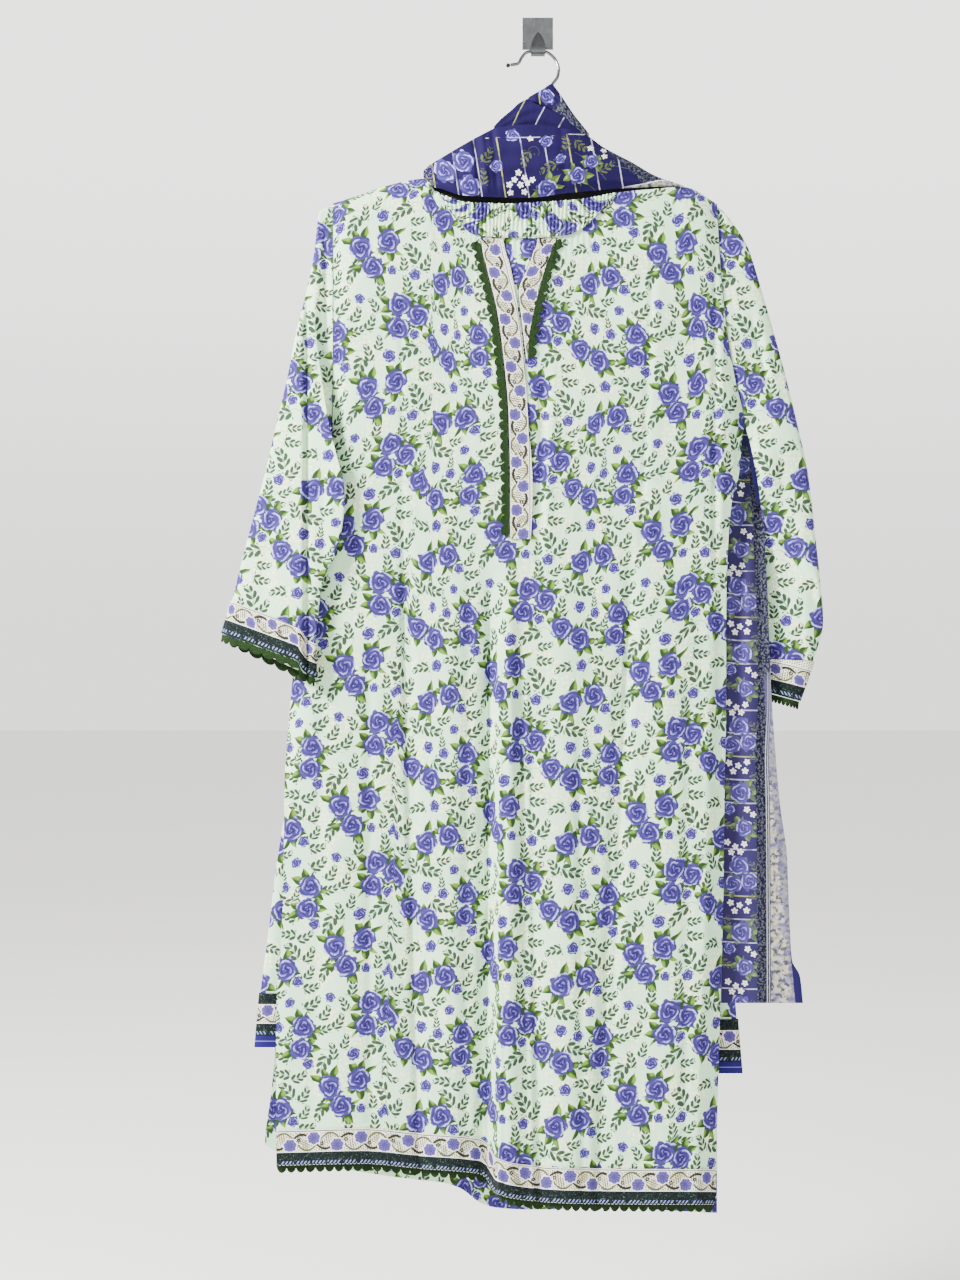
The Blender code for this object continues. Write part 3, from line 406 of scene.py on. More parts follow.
def sleeve_point(rows, is_right, around, along, cuff_step):
    """Points of a sleeve: `around` runs over its front from the outer edge, then back behind."""
    last = len(rows["out_x"]) - 1
    rows = numbered(rows)
    section = {name: smooth(rows, "row", name, along * last) for name in rows if name != "row"}
    turn = 2 * math.pi * around
    share = 0.5 - 0.5 * np.cos(turn)
    front = np.sin(turn)
    x = section["out_x"] + (section["in_x"] - section["out_x"]) * share
    x = x + section["bow"] * np.sin(math.pi * share)
    drop = section["out_drop"] + (section["in_drop"] - section["out_drop"]) * share
    depth = section["out_depth"] + (section["in_depth"] - section["out_depth"]) * share
    spread = section["gap"] / 2
    at_armhole = 1 - step(0, 1.5, along * last)
    # its end is tucked under the edges of the front and the back
    x = x + (-SLEEVE_TUCK if is_right else SLEEVE_TUCK) * (1 - step(0, 0.8, along * last))
    spread = spread + (armhole_spread(drop) - spread) * at_armhole
    depth = depth + spread * np.sign(front) * np.abs(front) ** 0.6
    ahead = front > 0
    near = np.minimum(1, 2.5 * np.abs(front))
    if is_right:
        before = x - smooth(RIGHT_FOLD, "drop", "x", drop)
        depth = depth + ahead * 6 * step(0.3, 0.5, along) * step(-3, 3, before) * near
        pressed = np.exp(-(((before - 3) / 1.8) ** 2)) * step(0.4, 0.6, along)
        depth = depth + ahead * near * (fold_height(RIGHT_ARM_FOLDS, ARM_FADE, x, drop) - 1.6 * pressed)
    else:
        depth = depth + ahead * 5 * step(0.2, 0.4, along) * (1 - step(-3, 3, x - LEFT_FOLD_X)) * near
        pressed = np.exp(-(((x - LEFT_FOLD_X - 3) / 1.8) ** 2)) * step(0.15, 0.35, along)
        depth = depth + ahead * near * (fold_height(LEFT_ARM_FOLDS, ARM_FADE, x, drop) - 2.0 * pressed)
        hang = np.minimum(share / 0.8, 1.0) - step(0.8, 0.88, share)
        drop = drop - ahead * cuff_step * hang * step(0.6, 1, along) * np.minimum(1, 3 * np.abs(front))
    soft = np.minimum(1, 1.5 * np.abs(front)) * step(0.02, 0.2, along)
    depth = depth + soft * 0.8 * ripple(x + 40 * front, drop, 21 + is_right)
    return place(x, drop, depth)


def left_sleeve(around, along):
    return sleeve_point(LEFT_SLEEVE, False, around, along, 9)


def right_sleeve(around, along):
    return sleeve_point(RIGHT_SLEEVE, True, around, along, 0)


def leg_length(rows):
    return rows["drop"][-1] - BAR_DROP + math.pi * LEG_BEND + WAIST_FLAP


def leg_point(rows, around, along):
    """`around` runs from the inner seam at the front, round the outer fold, to the inner seam behind."""
    hem = rows["drop"][-1]
    arc = math.pi * LEG_BEND
    run = along * leg_length(rows)
    over = run - (hem - BAR_DROP)
    past = over - arc
    turn = np.clip(over / LEG_BEND, 0, math.pi)
    depth = HANGER_DEPTH - LEG_BEND * np.cos(turn)
    out_depth = -np.cos(turn)
    out_drop = np.where((over > 0) & (past < 0), -np.sin(turn), 0.0)
    drop = np.where(over < 0, hem - run, np.where(past < 0, BAR_DROP - LEG_BEND * np.sin(turn), BAR_DROP + past))
    at = np.where(over < 0, hem - run, BAR_DROP)
    inner = smooth(rows, "drop", "inner", at)
    outer = smooth(rows, "drop", "outer", at)
    side = 2 * around - 1
    x = inner + (outer - inner) * (1 - side * side)
    half = LEG_HALF_GAP + 0.8 * step(BAR_DROP + 40, 700, drop)
    offset = half * np.clip(6 * side, -1.0, 1.0)
    wave = 0.5 * ripple(x, drop, 31) * step(0, 120, drop - BAR_DROP) * np.clip(8 * np.abs(side) - 0.4, 0, 1)
    return place(x, drop + out_drop * offset, depth + out_depth * (offset + np.sign(side) * np.abs(wave) * 0.5))


def wrap_surface(rows, tuck, ridges, pleats=0.0):
    """A stretch of dupatta seen from in front: its edges turn back by `tuck`, with soft ridges along it."""

    def point(across, down):
        x = rows["x"][0] + (rows["x"][-1] - rows["x"][0]) * across
        top = smooth(rows, "x", "top", x)
        low = smooth(rows, "x", "low", x)
        depth = smooth(rows, "x", "depth", x)
        ends = np.minimum(1, np.minimum(4 * across, 4 * (1 - across)))
        depth = depth - tuck * np.abs(2 * down - 1) ** 2.5 * ends
        depth = depth + ridges * np.sin(7 * math.pi * down + 5 * across) * np.sin(math.pi * np.clip(across, 0, 1))
        depth = depth + pleats * np.sin(math.pi * np.clip(down, 0, 1)) * ripple(x * 3, down * 500 + x, 51)
        if rows is COWL:
            for centre, width, height in COWL_CREASES:
                crease = np.exp(-(((x - centre - 6 * down) / width) ** 2))
                depth = depth + height * crease * np.minimum(1, 5 * (1 - down))
        return place(x, top + (low - top) * down, depth)

    return point


def hanging_surface(rows, wave, waves):
    """A stretch of dupatta that hangs, with soft upright waves."""

    def point(across, down):
        x, drop = strip_spot(rows, across, down)
        depth = smooth(rows, "drop", "depth", drop)
        depth = depth + wave * np.sin(2 * math.pi * waves * across + 1.5 * down) * step(0, 0.1, down)
        depth = depth + 0.4 * wave * ripple(x * 2, drop, 61) * step(0, 0.1, down)
        return place(x, drop, depth)

    return point


def tail_u(across, down):
    """How far a spot of the hanging end lies to the right of its printed edge, in metres."""
    x, drop = strip_spot(TAIL_RIGHT, across, down)
    return (x - smooth(TAIL_EDGE, "drop", "x", drop)) * MM


# pieces
def in_scene(name, data):
    made = bpy.data.objects.new(name, data)
    bpy.context.scene.collection.objects.link(made)
    return made


def cloth(
    name, surface, across, down, look, wall=COTTON, closed=False, start=(0.0, 0.0), columns_start=None,
    low_edge=False, left_edge=False, upward=False, print_u=None, lean=None,
):
    """A piece of cloth on a surface, at these shares of it or at this many even ones.

    Its print's coordinates are metres along the cloth itself.
    """
    a, b = np.meshgrid(*(even(shares) if isinstance(shares, int) else shares for shares in (across, down)))
    points = surface(a, b)
    rows, columns = a.shape
    sideways = np.linalg.norm(np.diff(points, axis=1), axis=2)
    downwards = np.linalg.norm(np.diff(points, axis=0), axis=2)
    u = np.concatenate([np.zeros((rows, 1)), np.cumsum(sideways, axis=1)], axis=1)
    u = u - u[:, columns // 2][:, None] + start[0]
    v = -np.concatenate([np.zeros((1, columns)), np.cumsum(downwards, axis=0)], axis=0) + start[1]
    if columns_start is not None:
        v = v + columns_start[None, :]
    if low_edge:
        v = v - v[-1:, :]
    if left_edge:
        u = u - u[:, :1]
    if upward:
        v = -v
    if print_u is not None:
        u = print_u(a, b)
    if lean is not None:
        # the print runs along the piece's own slope, seen from in front
        flat_x = points[..., 0] - points[0, 0, 0]
        flat_z = points[..., 2] - points[0, 0, 2]
        u = flat_x * math.cos(lean) + flat_z * math.sin(lean) + start[0]
        v = flat_z * math.cos(lean) - flat_x * math.sin(lean) + start[1]
    wide = columns - 1 if closed else columns
    index = np.arange(rows * wide).reshape(rows, wide)
    if closed:
        index = np.concatenate([index, index[:, :1]], axis=1)
    corners = ((0, 0), (1, 0), (1, 1), (0, 1))
    faces = np.stack([index[r : rows - 1 + r, c : columns - 1 + c] for r, c in corners], axis=-1).reshape(-1, 4)
    mesh = bpy.data.meshes.new(name)
    mesh.from_pydata(points[:, :wide].reshape(-1, 3).tolist(), [], faces.tolist())
    uv = np.stack(
        [np.stack([g[r : rows - 1 + r, c : columns - 1 + c] for r, c in corners], axis=-1) for g in (u, v)], axis=-1
    )
    mesh.uv_layers.new(name="cloth").data.foreach_set("uv", uv.reshape(-1))
    mesh.materials.append(look)
    mesh.shade_smooth()
    edge_of_corner = np.empty(len(mesh.loops), dtype=np.int32)
    mesh.loops.foreach_get("edge_index", edge_of_corner)
    rim = np.bincount(edge_of_corner, minlength=len(mesh.edges)) == 1
    mesh.attributes.new("sharp_edge", "BOOLEAN", "EDGE").data.foreach_set("value", rim)
    made = in_scene(name, mesh)
    thickness = made.modifiers.new("Wall", "SOLIDIFY")
    thickness.thickness = wall * MM
    thickness.offset = 0.0
    return made


def show(piece, nodes):
    """Rides on the part's one body, in place of these solids."""
    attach(piece, "root")
    if nodes:
        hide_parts(*nodes)
    return piece


def sheet(name, node, slot, surface, across, down, look, flat, rests_on, held="hung", area=None, **options):
    """A sheet of cloth, in place of one solid."""
    made = show(cloth(name, surface, across, down, look, **options), [node])


def spread_shares(count, marks):
    """Shares from 0 to 1, closer together around each (share, width, strength) in marks."""
    t = np.linspace(0, 1, 4001)
    weight = np.ones_like(t)
    for at, width, strength in marks:
        weight += strength * np.exp(-(((t - at) / width) ** 2))
    total = np.concatenate([[0], np.cumsum((weight[1:] + weight[:-1]) / 2)])
    return np.interp(np.linspace(0, total[-1], count), total, t)


def tube(name, points, radius, look, sides=8):
    """A round rod along points in metres."""
    curve = bpy.data.curves.new(name, "CURVE")
    curve.dimensions = "3D"
    curve.bevel_depth = radius * MM
    curve.bevel_resolution = sides
    curve.use_fill_caps = True
    spline = curve.splines.new("POLY")
    spline.points.add(len(points) - 1)
    for spot, point in zip(spline.points, points):
        spot.co = (*point, 1.0)
    curve.materials.append(look)
    return in_scene(name, curve)


# shader nodes
class Value:
    """One output of a node. It takes +, -, * and abs()."""

    def __init__(self, nodes, socket):
        self.nodes = nodes
        self.socket = socket

    def __add__(self, other):
        return self.nodes.math("ADD", self, other)

    def __sub__(self, other):
        return self.nodes.math("SUBTRACT", self, other)

    def __rsub__(self, other):
        return self.nodes.math("SUBTRACT", other, self)

    def __mul__(self, other):
        return self.nodes.math("MULTIPLY", self, other)

    def __abs__(self):
        return self.nodes.math("ABSOLUTE", self)

    __radd__ = __add__
    __rmul__ = __mul__


class Nodes:
    """Adds nodes to one material by short calls. What they take is a Value, a number or a colour."""

    def __init__(self, name):
        self.material = bpy.data.materials.new(name)
        self.material.use_nodes = True
        self.tree = self.material.node_tree
        self.shader = self.tree.nodes["Principled BSDF"]

    def put(self, socket, value):
        if isinstance(value, Value):
            self.tree.links.new(value.socket, socket)
        elif isinstance(value, tuple) and len(socket.default_value) == 4 and len(value) == 3:
            socket.default_value = (*value, 1.0)
        else:
            socket.default_value = value

    def node(self, kind, values, out=0, **settings):
        made = self.tree.nodes.new(kind)
        for name, value in settings.items():
            setattr(made, name, value)
        for index, value in values.items():
            self.put(made.inputs[index], value)
        return Value(self, made.outputs[out])

    def math(self, operation, *values):
        return self.node("ShaderNodeMath", dict(enumerate(values)), operation=operation)

    def sine(self, angle):
        return self.math("SINE", angle)

    def fraction(self, value):
        return self.math("FRACT", value)

    def vector(self, operation, *values, out=0):
        return self.node("ShaderNodeVectorMath", dict(enumerate(values)), out=out, operation=operation)

    def length(self, value):
        return self.vector("LENGTH", value, out=1)

    def scaled(self, value, by):
        return self.node("ShaderNodeVectorMath", {0: value, 3: by}, operation="SCALE")

    def split(self, value):
        made = self.tree.nodes.new("ShaderNodeSeparateXYZ")
        self.put(made.inputs[0], value)
        return tuple(Value(self, output) for output in made.outputs)

    def joined(self, x, y, z=0.0):
        return self.node("ShaderNodeCombineXYZ", {0: x, 1: y, 2: z})

    def mix_vector(self, share, a, b):
        return self.node("ShaderNodeMix", {0: share, 4: a, 5: b}, out=1, data_type="VECTOR")

    def mix(self, share, a, b):
        return self.node("ShaderNodeMix", {0: share, 6: a, 7: b}, out=2, data_type="RGBA")

    def rising(self, value, low, high, start=0.0, end=1.0):
        return self.node(
            "ShaderNodeMapRange", {0: value, 1: low, 2: high, 3: start, 4: end}, interpolation_type="SMOOTHSTEP"
        )

    def falling(self, value, low, high):
        return self.rising(value, low, high, 1.0, 0.0)

    def band(self, value, centre, half, soft):
        return self.falling(abs(value - centre), half - soft / 2, half + soft / 2)

    def noise(self, where, scale, detail=2.0):
        return self.node("ShaderNodeTexNoise", {0: where, 2: scale, 3: detail}, out=0)

    def dots(self, where, scale, radius, randomness=1.0):
        away = self.node(
            "ShaderNodeTexVoronoi", {0: where, 2: scale, 8: randomness}, out=0, voronoi_dimensions="2D"
        )
        return self.falling(away, radius * 0.7, radius)

    def cloth_place(self):
        return self.node("ShaderNodeUVMap", {}, uv_map="cloth")

    def set(self, **values):
        for name, value in values.items():
            self.put(self.shader.inputs[name.replace("_", " ")], value)

    def bump(self, height, distance, strength=1.0, normal=None):
        made = self.tree.nodes.new("ShaderNodeBump")
        made.inputs["Strength"].default_value = strength
        made.inputs["Distance"].default_value = distance
        self.put(made.inputs["Height"], height)
        if normal is not None:
            self.put(made.inputs["Normal"], normal)
        return Value(self, made.outputs[0])


THREAD = 0.00042
INDIGO = (0.009, 0.006, 0.038)
VIOLET = (0.028, 0.019, 0.112)
PERIWINKLE = (0.140, 0.115, 0.48)
PALE_PETAL = (0.46, 0.45, 0.90)
LEAF_DARK = (0.020, 0.048, 0.012)
LEAF_LIGHT = (0.135, 0.265, 0.028)
SPRIG_GREEN = (0.015, 0.036, 0.017)
CREAM = (0.96, 0.97, 0.60)

# one repeat of the floral print: x, y down, radius, turn, and 1 for a bud with no leaves
FLORAL_TILE = (165.0, 141.0)
ROSES = (
    (21, 12, 12.6, 20, 0), (39, 23, 11.8, 110, 0), (18, 35, 12.2, 230, 0), (34, 42, 5.5, 60, 1),
    (57, 51, 11.8, 70, 0), (77, 62, 12.6, 290, 0), (119, 37, 12.2, 140, 0), (117, 59, 11.8, 45, 0),
    (125, 74, 6, 115, 1), (12, 89, 12.6, 190, 0), (73, 126, 12.6, 10, 0), (98, 119, 12.6, 110, 0),
    (111, 132, 6, 60, 1), (148, 96, 12.6, 166, 0), (160, 115, 12.2, 52, 0), (75, 30, 6.5, 30, 1), (93, 36, 6, 90, 1),
    (104, 12, 5.5, 140, 1), (6, 63, 7, 200, 1), (82, 89, 6.5, 0, 1), (15, 118, 5.2, 115, 1), (38, 123, 6.3, 230, 1),
    (145, 6, 5.5, 320, 1),
)
# x, y down, half length, direction of the tip in degrees, and 1 for a long curled stem
SPRIGS = (
    (42, 6, 9, 0, 0), (80, 13, 12, -15, 1), (91, 24, 6, 95, 0), (92, 49, 11, -20, 0), (105, 44, 7, 70, 0),
    (97, 66, 9, 165, 0), (25, 60, 12, 215, 1), (43, 69, 8, 10, 0), (36, 101, 12, 125, 0), (51, 111, 10, 60, 0),
    (29, 132, 9, 95, 0), (98, 84, 9, 175, 0), (104, 100, 11, 130, 0), (122, 105, 9, 60, 0), (140, 76, 12, 250, 1),
    (150, 60, 9, 100, 0), (139, 122, 11, 240, 1), (2, 136, 9, 90, 0), (141, 38, 9, 20, 0), (155, 30, 9, 60, 0),
    (62, 92, 9, 200, 0), (55, 28, 9, 80, 0), (128, 13, 10, 40, 0), (44, 84, 9, 0, 0), (141, 22, 9, 60, 0),
    (117, 87, 9, 30, 0), (162, 50, 8, 75, 0), (126, 138, 9, 15, 0), (60, 8, 9, 120, 0), (159, 12, 8, 120, 0),
    (27, 111, 8, 90, 0), (93, 3, 8, 15, 0), (48, 134, 8, 45, 0), (123, 123, 8, 60, 0),
)


def nearest_stamp(n, uv, stamps, tile):
    """A spot's place in its nearest stamp, from -1 to 1 across it, and that stamp's turn, number and kind."""
    half = (tile[0] / 2 * MM, tile[1] / 2 * MM, 1.0)
    best = chosen = facts = None
    for number, (x, y, radius, turn, kind) in enumerate(stamps):
        offset = n.vector("SUBTRACT", uv, (x * MM, -y * MM, 0.0))
        inside = n.vector("WRAP", offset, half, tuple(-side for side in half))
        local = n.scaled(inside, 1 / (radius * MM))
        reach = n.length(local)
        own = (math.radians(turn), number * 0.37, float(kind))
        if best is None:
            best, chosen, facts = reach, local, own
            continue
        closer = n.math("LESS_THAN", reach, best)
        best = n.math("MINIMUM", reach, best)
        chosen = n.mix_vector(closer, chosen, local)
        facts = n.mix_vector(closer, facts, own)
    turn, number, kind = n.split(facts)
    # a stamp's own x axis points along its turn
    local = n.node("ShaderNodeVectorRotate", {0: chosen, 3: turn * -1.0}, rotation_type="Z_AXIS")
    return local, number, kind


def petal_grain(n, uv):
    return n.noise(uv, 420.0, 1.0) - 0.5


def rose(n, local, number, grain):
    """A full rose seen from above: its colour and where it is."""
    x, y, _ = n.split(local)
    reach = n.length(local) + grain * 0.20
    angle = n.math("ARCTAN2", y, x)
    seed = number * 9.0
    sway = n.sine(angle * 3.0 + seed)
    spiral = reach * 2.7 + angle * (1 / (2 * math.pi)) + sway * 0.20
    petal = n.fraction(spiral)
    # the pale petal edges are short arcs, not whole rounds
    arcs = n.sine(angle * 3.0 + reach * 7.0 + seed * 2.0)
    broken = n.rising(arcs, -0.5, 0.2)
    light = n.rising(petal, 0.46, 0.68) * n.falling(petal, 0.86, 0.97) * broken
    deep = n.falling(petal, 0.0, 0.40)
    outside = n.rising(reach, 0.35, 0.85)
    colour = n.mix(n.rising(reach, 0.1, 0.7), VIOLET, (0.050, 0.037, 0.190))
    colour = n.mix(light * 0.92, colour, n.mix(outside, PERIWINKLE, PALE_PETAL))
    colour = n.mix(deep * n.rising(reach, 0.0, 0.8, 0.9, 0.6), colour, INDIGO)
    ruffle = n.sine(angle * 5.0 + seed) * 0.075 + n.sine(angle * 9.0 - seed) * 0.055
    edge = reach - ruffle
    return colour, n.falling(edge, 0.90, 0.98)


def rose_leaves(n, local, number, kind):
    """Pointed leaves round a rose, in two bunches: their colour and where they are."""
    x, y, _ = n.split(local)
    reach = n.length(local)
    angle = n.math("ARCTAN2", y, x)
    part = n.fraction(angle * (9 / (2 * math.pi)) + number) - 0.5
    longer = n.sine(angle * 4.0 + number * 5.0) * 0.14
    width = n.rising(reach + longer, 0.92, 1.82, 0.50, 0.0)
    shape = n.falling(abs(part) - width, -0.02, 0.03)
    bunch = n.rising(n.math("COSINE", angle * 2.0 + number * 3.0), -0.30, -0.20)
    mask = shape * bunch * (1.0 - kind)
    colour = n.mix(n.rising(part, -0.12, 0.10), LEAF_LIGHT, LEAF_DARK)
    colour = n.mix(n.falling(reach, 0.95, 1.25), colour, LEAF_DARK)
    return colour, mask


def sprig(n, local, kind, plump=0.45):
    """A stem with paired leaflets like a herring's bones, its tip along x."""
    x, y, _ = n.split(local)
    y = y - x * x * 0.22 + 0.08
    side = abs(y)
    pairs = n.fraction(x * 1.6 - side * 1.5)
    spread = n.rising(x, -1.0, 1.05, 0.66, 0.34)
    along = n.math("DIVIDE", side, spread)
    plump = plump - abs(along - 0.55) * 0.48
    stroke = n.falling(abs(pairs - 0.5) - plump, -0.03, 0.04)
    inside = n.falling(along, 0.95, 1.05) * n.rising(x, -1.0, -0.95) * n.falling(x, 0.93, 1.0)
    leaflets = stroke * inside * n.rising(side, 0.03, 0.06)
    stem = n.falling(side, 0.018, 0.04) * (n.rising(x, -1.25, -1.1) * n.falling(x, 0.8, 0.9))
    curl = n.length(n.vector("SUBTRACT", local, (-1.1, 0.55, 0.0))) - 0.62
    tail = n.falling(abs(curl), 0.015, 0.035) * n.falling(x, -0.95, -0.85)
    thin = n.math("MAXIMUM", stem * 0.85, tail * kind * 0.7)
    return n.math("MAXIMUM", leaflets, thin)


def weave(n, uv, strength=0.35):
    """Threads across and along, as the cloth's own bump, with soft crumples."""
    across = n.node("ShaderNodeTexWave", {0: uv, 1: 1 / (THREAD * 2 * math.pi)}, out=1, bands_direction="X")
    along = n.node("ShaderNodeTexWave", {0: uv, 1: 1 / (THREAD * 2 * math.pi)}, out=1, bands_direction="Y")
    threads = n.bump(across * along, 0.00006, strength)
    crumple = n.noise(n.vector("MULTIPLY", uv, (1.0, 0.45, 1.0)), 55.0, 3.0)
    return n.bump(crumple, 0.0022, 0.55, threads)


def floral_colour(n, uv):
    """Violet-blue roses with leaves and sprigs on a pale mint ground."""
    ground = n.mix(n.noise(uv, 30.0, 3.0), (0.48, 0.79, 0.50), (0.67, 0.95, 0.66))
    speck = n.dots(uv, 195.0, 0.37, 0.6) * n.rising(n.noise(uv, 34.0, 0.0), 0.51, 0.57)
    colour = n.mix(speck * 0.9, ground, CREAM)
    local, number, kind = nearest_stamp(n, uv, SPRIGS, FLORAL_TILE)
    colour = n.mix(sprig(n, local, kind) * 0.97, colour, SPRIG_GREEN)
    local, number, kind = nearest_stamp(n, uv, ROSES, FLORAL_TILE)
    leaf, where = rose_leaves(n, local, number, kind)
    colour = n.mix(where, colour, leaf)
    bloom, where = rose(n, local, number, petal_grain(n, uv))
    return n.mix(where, colour, bloom)


def cotton(name):
    n = Nodes(name)
    uv = n.cloth_place()
    n.set(Base_Color=floral_colour(n, uv), Roughness=0.86, Sheen_Weight=0.03, Normal=weave(n, uv))
    n.set(Sheen_Roughness=0.5, Specular_IOR_Level=0.12)
    return n.material


def vine_colour(n, s, t, height, uv):
    """A running vine with round violet flowers, turn by turn high and low, on a cream ground. Millimetres."""
    pitch = 24.0
    half = height / 2
    cell = s * (1 / pitch)
    high = n.math("FLOORED_MODULO", n.math("FLOOR", cell), 2.0) * 2.0 - 1.0
    fx = (n.fraction(cell) - 0.5) * pitch
    fy = t - half - high * (0.17 * height)
    flower = n.joined(fx, fy)
    reach = n.length(flower)
    angle = n.math("ARCTAN2", fy, fx)
    size = 0.29 * height
    rim = n.sine(angle * 7.0) * (0.07 * size) + size
    inside = reach - rim
    tint = n.noise(uv, 300.0, 2.0)
    colour = n.mix(n.rising(n.noise(uv, 160.0, 0.0), 0.45, 0.6), (0.82, 0.80, 0.68), (0.72, 0.69, 0.40))
    strokes = n.sine(s * 1.9 + t * 1.5) * n.sine(s * 0.75 - t)
    colour = n.mix(n.rising(strokes, 0.20, 0.42) * 0.9, colour, (0.050, 0.055, 0.030))
    # a patch of short upright strokes between each two flowers, on the other side from the next one
    beside = n.fraction(cell + 0.5)
    lines = n.sine(s * (2 * math.pi / 2.3) + t * 0.5)
    beyond = t - half + high * (0.16 * height)
    patch = n.band(beside, 0.5, 0.26, 0.04) * n.band(beyond, 0.0, 0.25 * height, 1.0)
    colour = n.mix(n.rising(lines, 0.0, 0.4) * patch * 0.85, colour, (0.060, 0.062, 0.075))
    branches = (
        (-0.33, math.pi / 2, 1.25, (0.026, 0.025, 0.018)),
        (0.40, 0.9, 1.0, (0.075, 0.085, 0.035)),
    )
    for amount, phase, thick, branch in branches:
        wave = n.sine(s * (math.pi / pitch) + phase) * (amount * height)
        off = abs(t - half - wave)
        colour = n.mix(n.falling(off, thick - 0.1, thick + 0.3), colour, branch)
    colour = n.mix(n.falling(inside, 0.9, 1.3), colour, (0.78, 0.77, 0.74))
    petal = n.mix(n.rising(reach, 0.1 * size, 0.9 * size), (0.018, 0.009, 0.095), (0.050, 0.034, 0.20))
    petal = n.mix(n.rising(n.sine(angle * 11.0), 0.2, 0.9) * 0.28, petal, (0.26, 0.22, 0.56))
    petal = n.mix(tint * 0.16, petal, (0.34, 0.29, 0.62))
    colour = n.mix(n.falling(inside, -0.15, 0.15), colour, petal)
    berry = n.length(n.joined(fx - 0.36 * pitch, fy + high * (0.25 * height)))
    colour = n.mix(n.band(berry, 1.3, 0.60, 0.3), colour, (0.015, 0.015, 0.015))
    for edge in (0.0, height):
        off = abs(t - edge)
        colour = n.mix(n.falling(off, 1.3, 1.6), colour, (0.84, 0.83, 0.78))
    return n.mix(n.band(abs(t - half), half - 0.25, 0.45, 0.2), colour, (0.020, 0.022, 0.030))


def dark_band_colour(n, s, t, dashed=True):
    """Near-black cloth with pale specks and, where dashed, one row of slanted pale dashes."""
    where = n.joined(s, t)
    specks = n.dots(where, 0.50, 0.30)
    vary = n.noise(where, 0.25, 1.0)
    colour = n.mix(specks * n.rising(vary, 0.40, 0.70), (0.0040, 0.0058, 0.0085), (0.060, 0.095, 0.070))
    small = n.dots(n.vector("ADD", where, (31.0, 17.0, 0.0)), 0.95, 0.30)
    colour = n.mix(small * 0.4, colour, (0.030, 0.062, 0.040))
    if not dashed:
        return colour
    slant = n.fraction((s - t * 0.7) * (1 / 3.8))
    groups = n.rising(n.fraction(s * (1 / 16.0)), 0.16, 0.2)
    dash = n.band(slant, 0.5, 0.20, 0.08) * n.band(t, 3.4, 1.5, 0.5) * groups
    return n.mix(dash, colour, (0.20, 0.23, 0.50))


def border_cloth(name, along_v, dark_height, vine_height, navy_height=0.0):
    """The trims: a vine band over a dark band. The print's height is counted up from the lower edge.

    Where there is a navy strip below these, there is a second dark band above them.
    """
    n = Nodes(name)
    uv = n.cloth_place()
    u, v, _ = n.split(uv)
    s = (v if along_v else u) * 1000.0
    t = (u if along_v else v) * 1000.0
    colour = vine_colour(n, s, t - dark_height, vine_height, uv)
    if dark_height:
        dark = dark_band_colour(n, s, t - navy_height)
        colour = n.mix(n.rising(t, dark_height - 0.2, dark_height + 0.2), dark, colour)
    if navy_height:
        top = dark_height + vine_height
        colour = n.mix(n.rising(t, top - 0.2, top + 0.2), colour, dark_band_colour(n, s, t, dashed=False))
        navy = n.mix(n.band(t, 0.55 * navy_height, 0.45, 0.3), (0.016, 0.010, 0.105), (0.14, 0.14, 0.38))
        colour = n.mix(n.falling(t, navy_height - 0.2, navy_height + 0.2), colour, navy)
    n.set(Base_Color=colour, Roughness=0.86, Sheen_Weight=0.02, Normal=weave(n, uv))
    n.set(Specular_IOR_Level=0.1)
    return n.material


# one repeat of the dupatta's print: kind 2 is a small white star flower
SCARF_TILE = (120.0, 141.0)
SCARF_STAMPS = (
    (16, 22, 11.5, 20, 0), (34, 12, 10.5, 110, 1), (33, 32, 11, 230, 1), (52, 60, 10.5, 140, 0), (20, 84, 8, 300, 1),
    (44, 122, 8, 100, 1), (56, 22, 3.4, 0, 2), (63, 28, 3.2, 30, 2), (55, 34, 3.4, 10, 2), (30, 62, 3.4, 40, 2),
    (36, 68, 3.2, 0, 2), (24, 66, 3.2, 20, 2), (12, 112, 3.4, 0, 2), (20, 118, 3.2, 20, 2), (91, 28, 10.5, 60, 1),
    (101, 44, 9.5, 10, 1), (84, 47, 9.5, 200, 0), (93, 95, 11, 200, 0), (81, 112, 6.5, 80, 1), (96, 131, 9, 30, 0),
    (79, 5, 3.6, 0, 2), (87, 9, 3.4, 30, 2), (83, 15, 3.5, 10, 2), (96, 6, 3.4, 50, 2), (92, 14, 3.5, 5, 2),
    (82, 66, 3.6, 40, 2), (91, 68, 3.4, 0, 2), (86, 74, 3.5, 20, 2), (98, 73, 3.5, 15, 2), (100, 64, 3.4, 45, 2),
    (99, 112, 3.5, 60, 2), (105, 117, 3.4, 0, 2),
)
SCARF_SPRIGS = (
    (14, 48, 9, 60, 0), (60, 44, 9, 200, 1), (106, 30, 8, 120, 1), (106, 84, 9, 250, 0), (78, 86, 8, 70, 0),
    (40, 92, 10, 30, 0), (108, 130, 8, 90, 0), (58, 132, 10, 160, 1), (80, 128, 8, 340, 0), (108, 56, 7, 60, 0),
    (20, 134, 8, 80, 0),
)
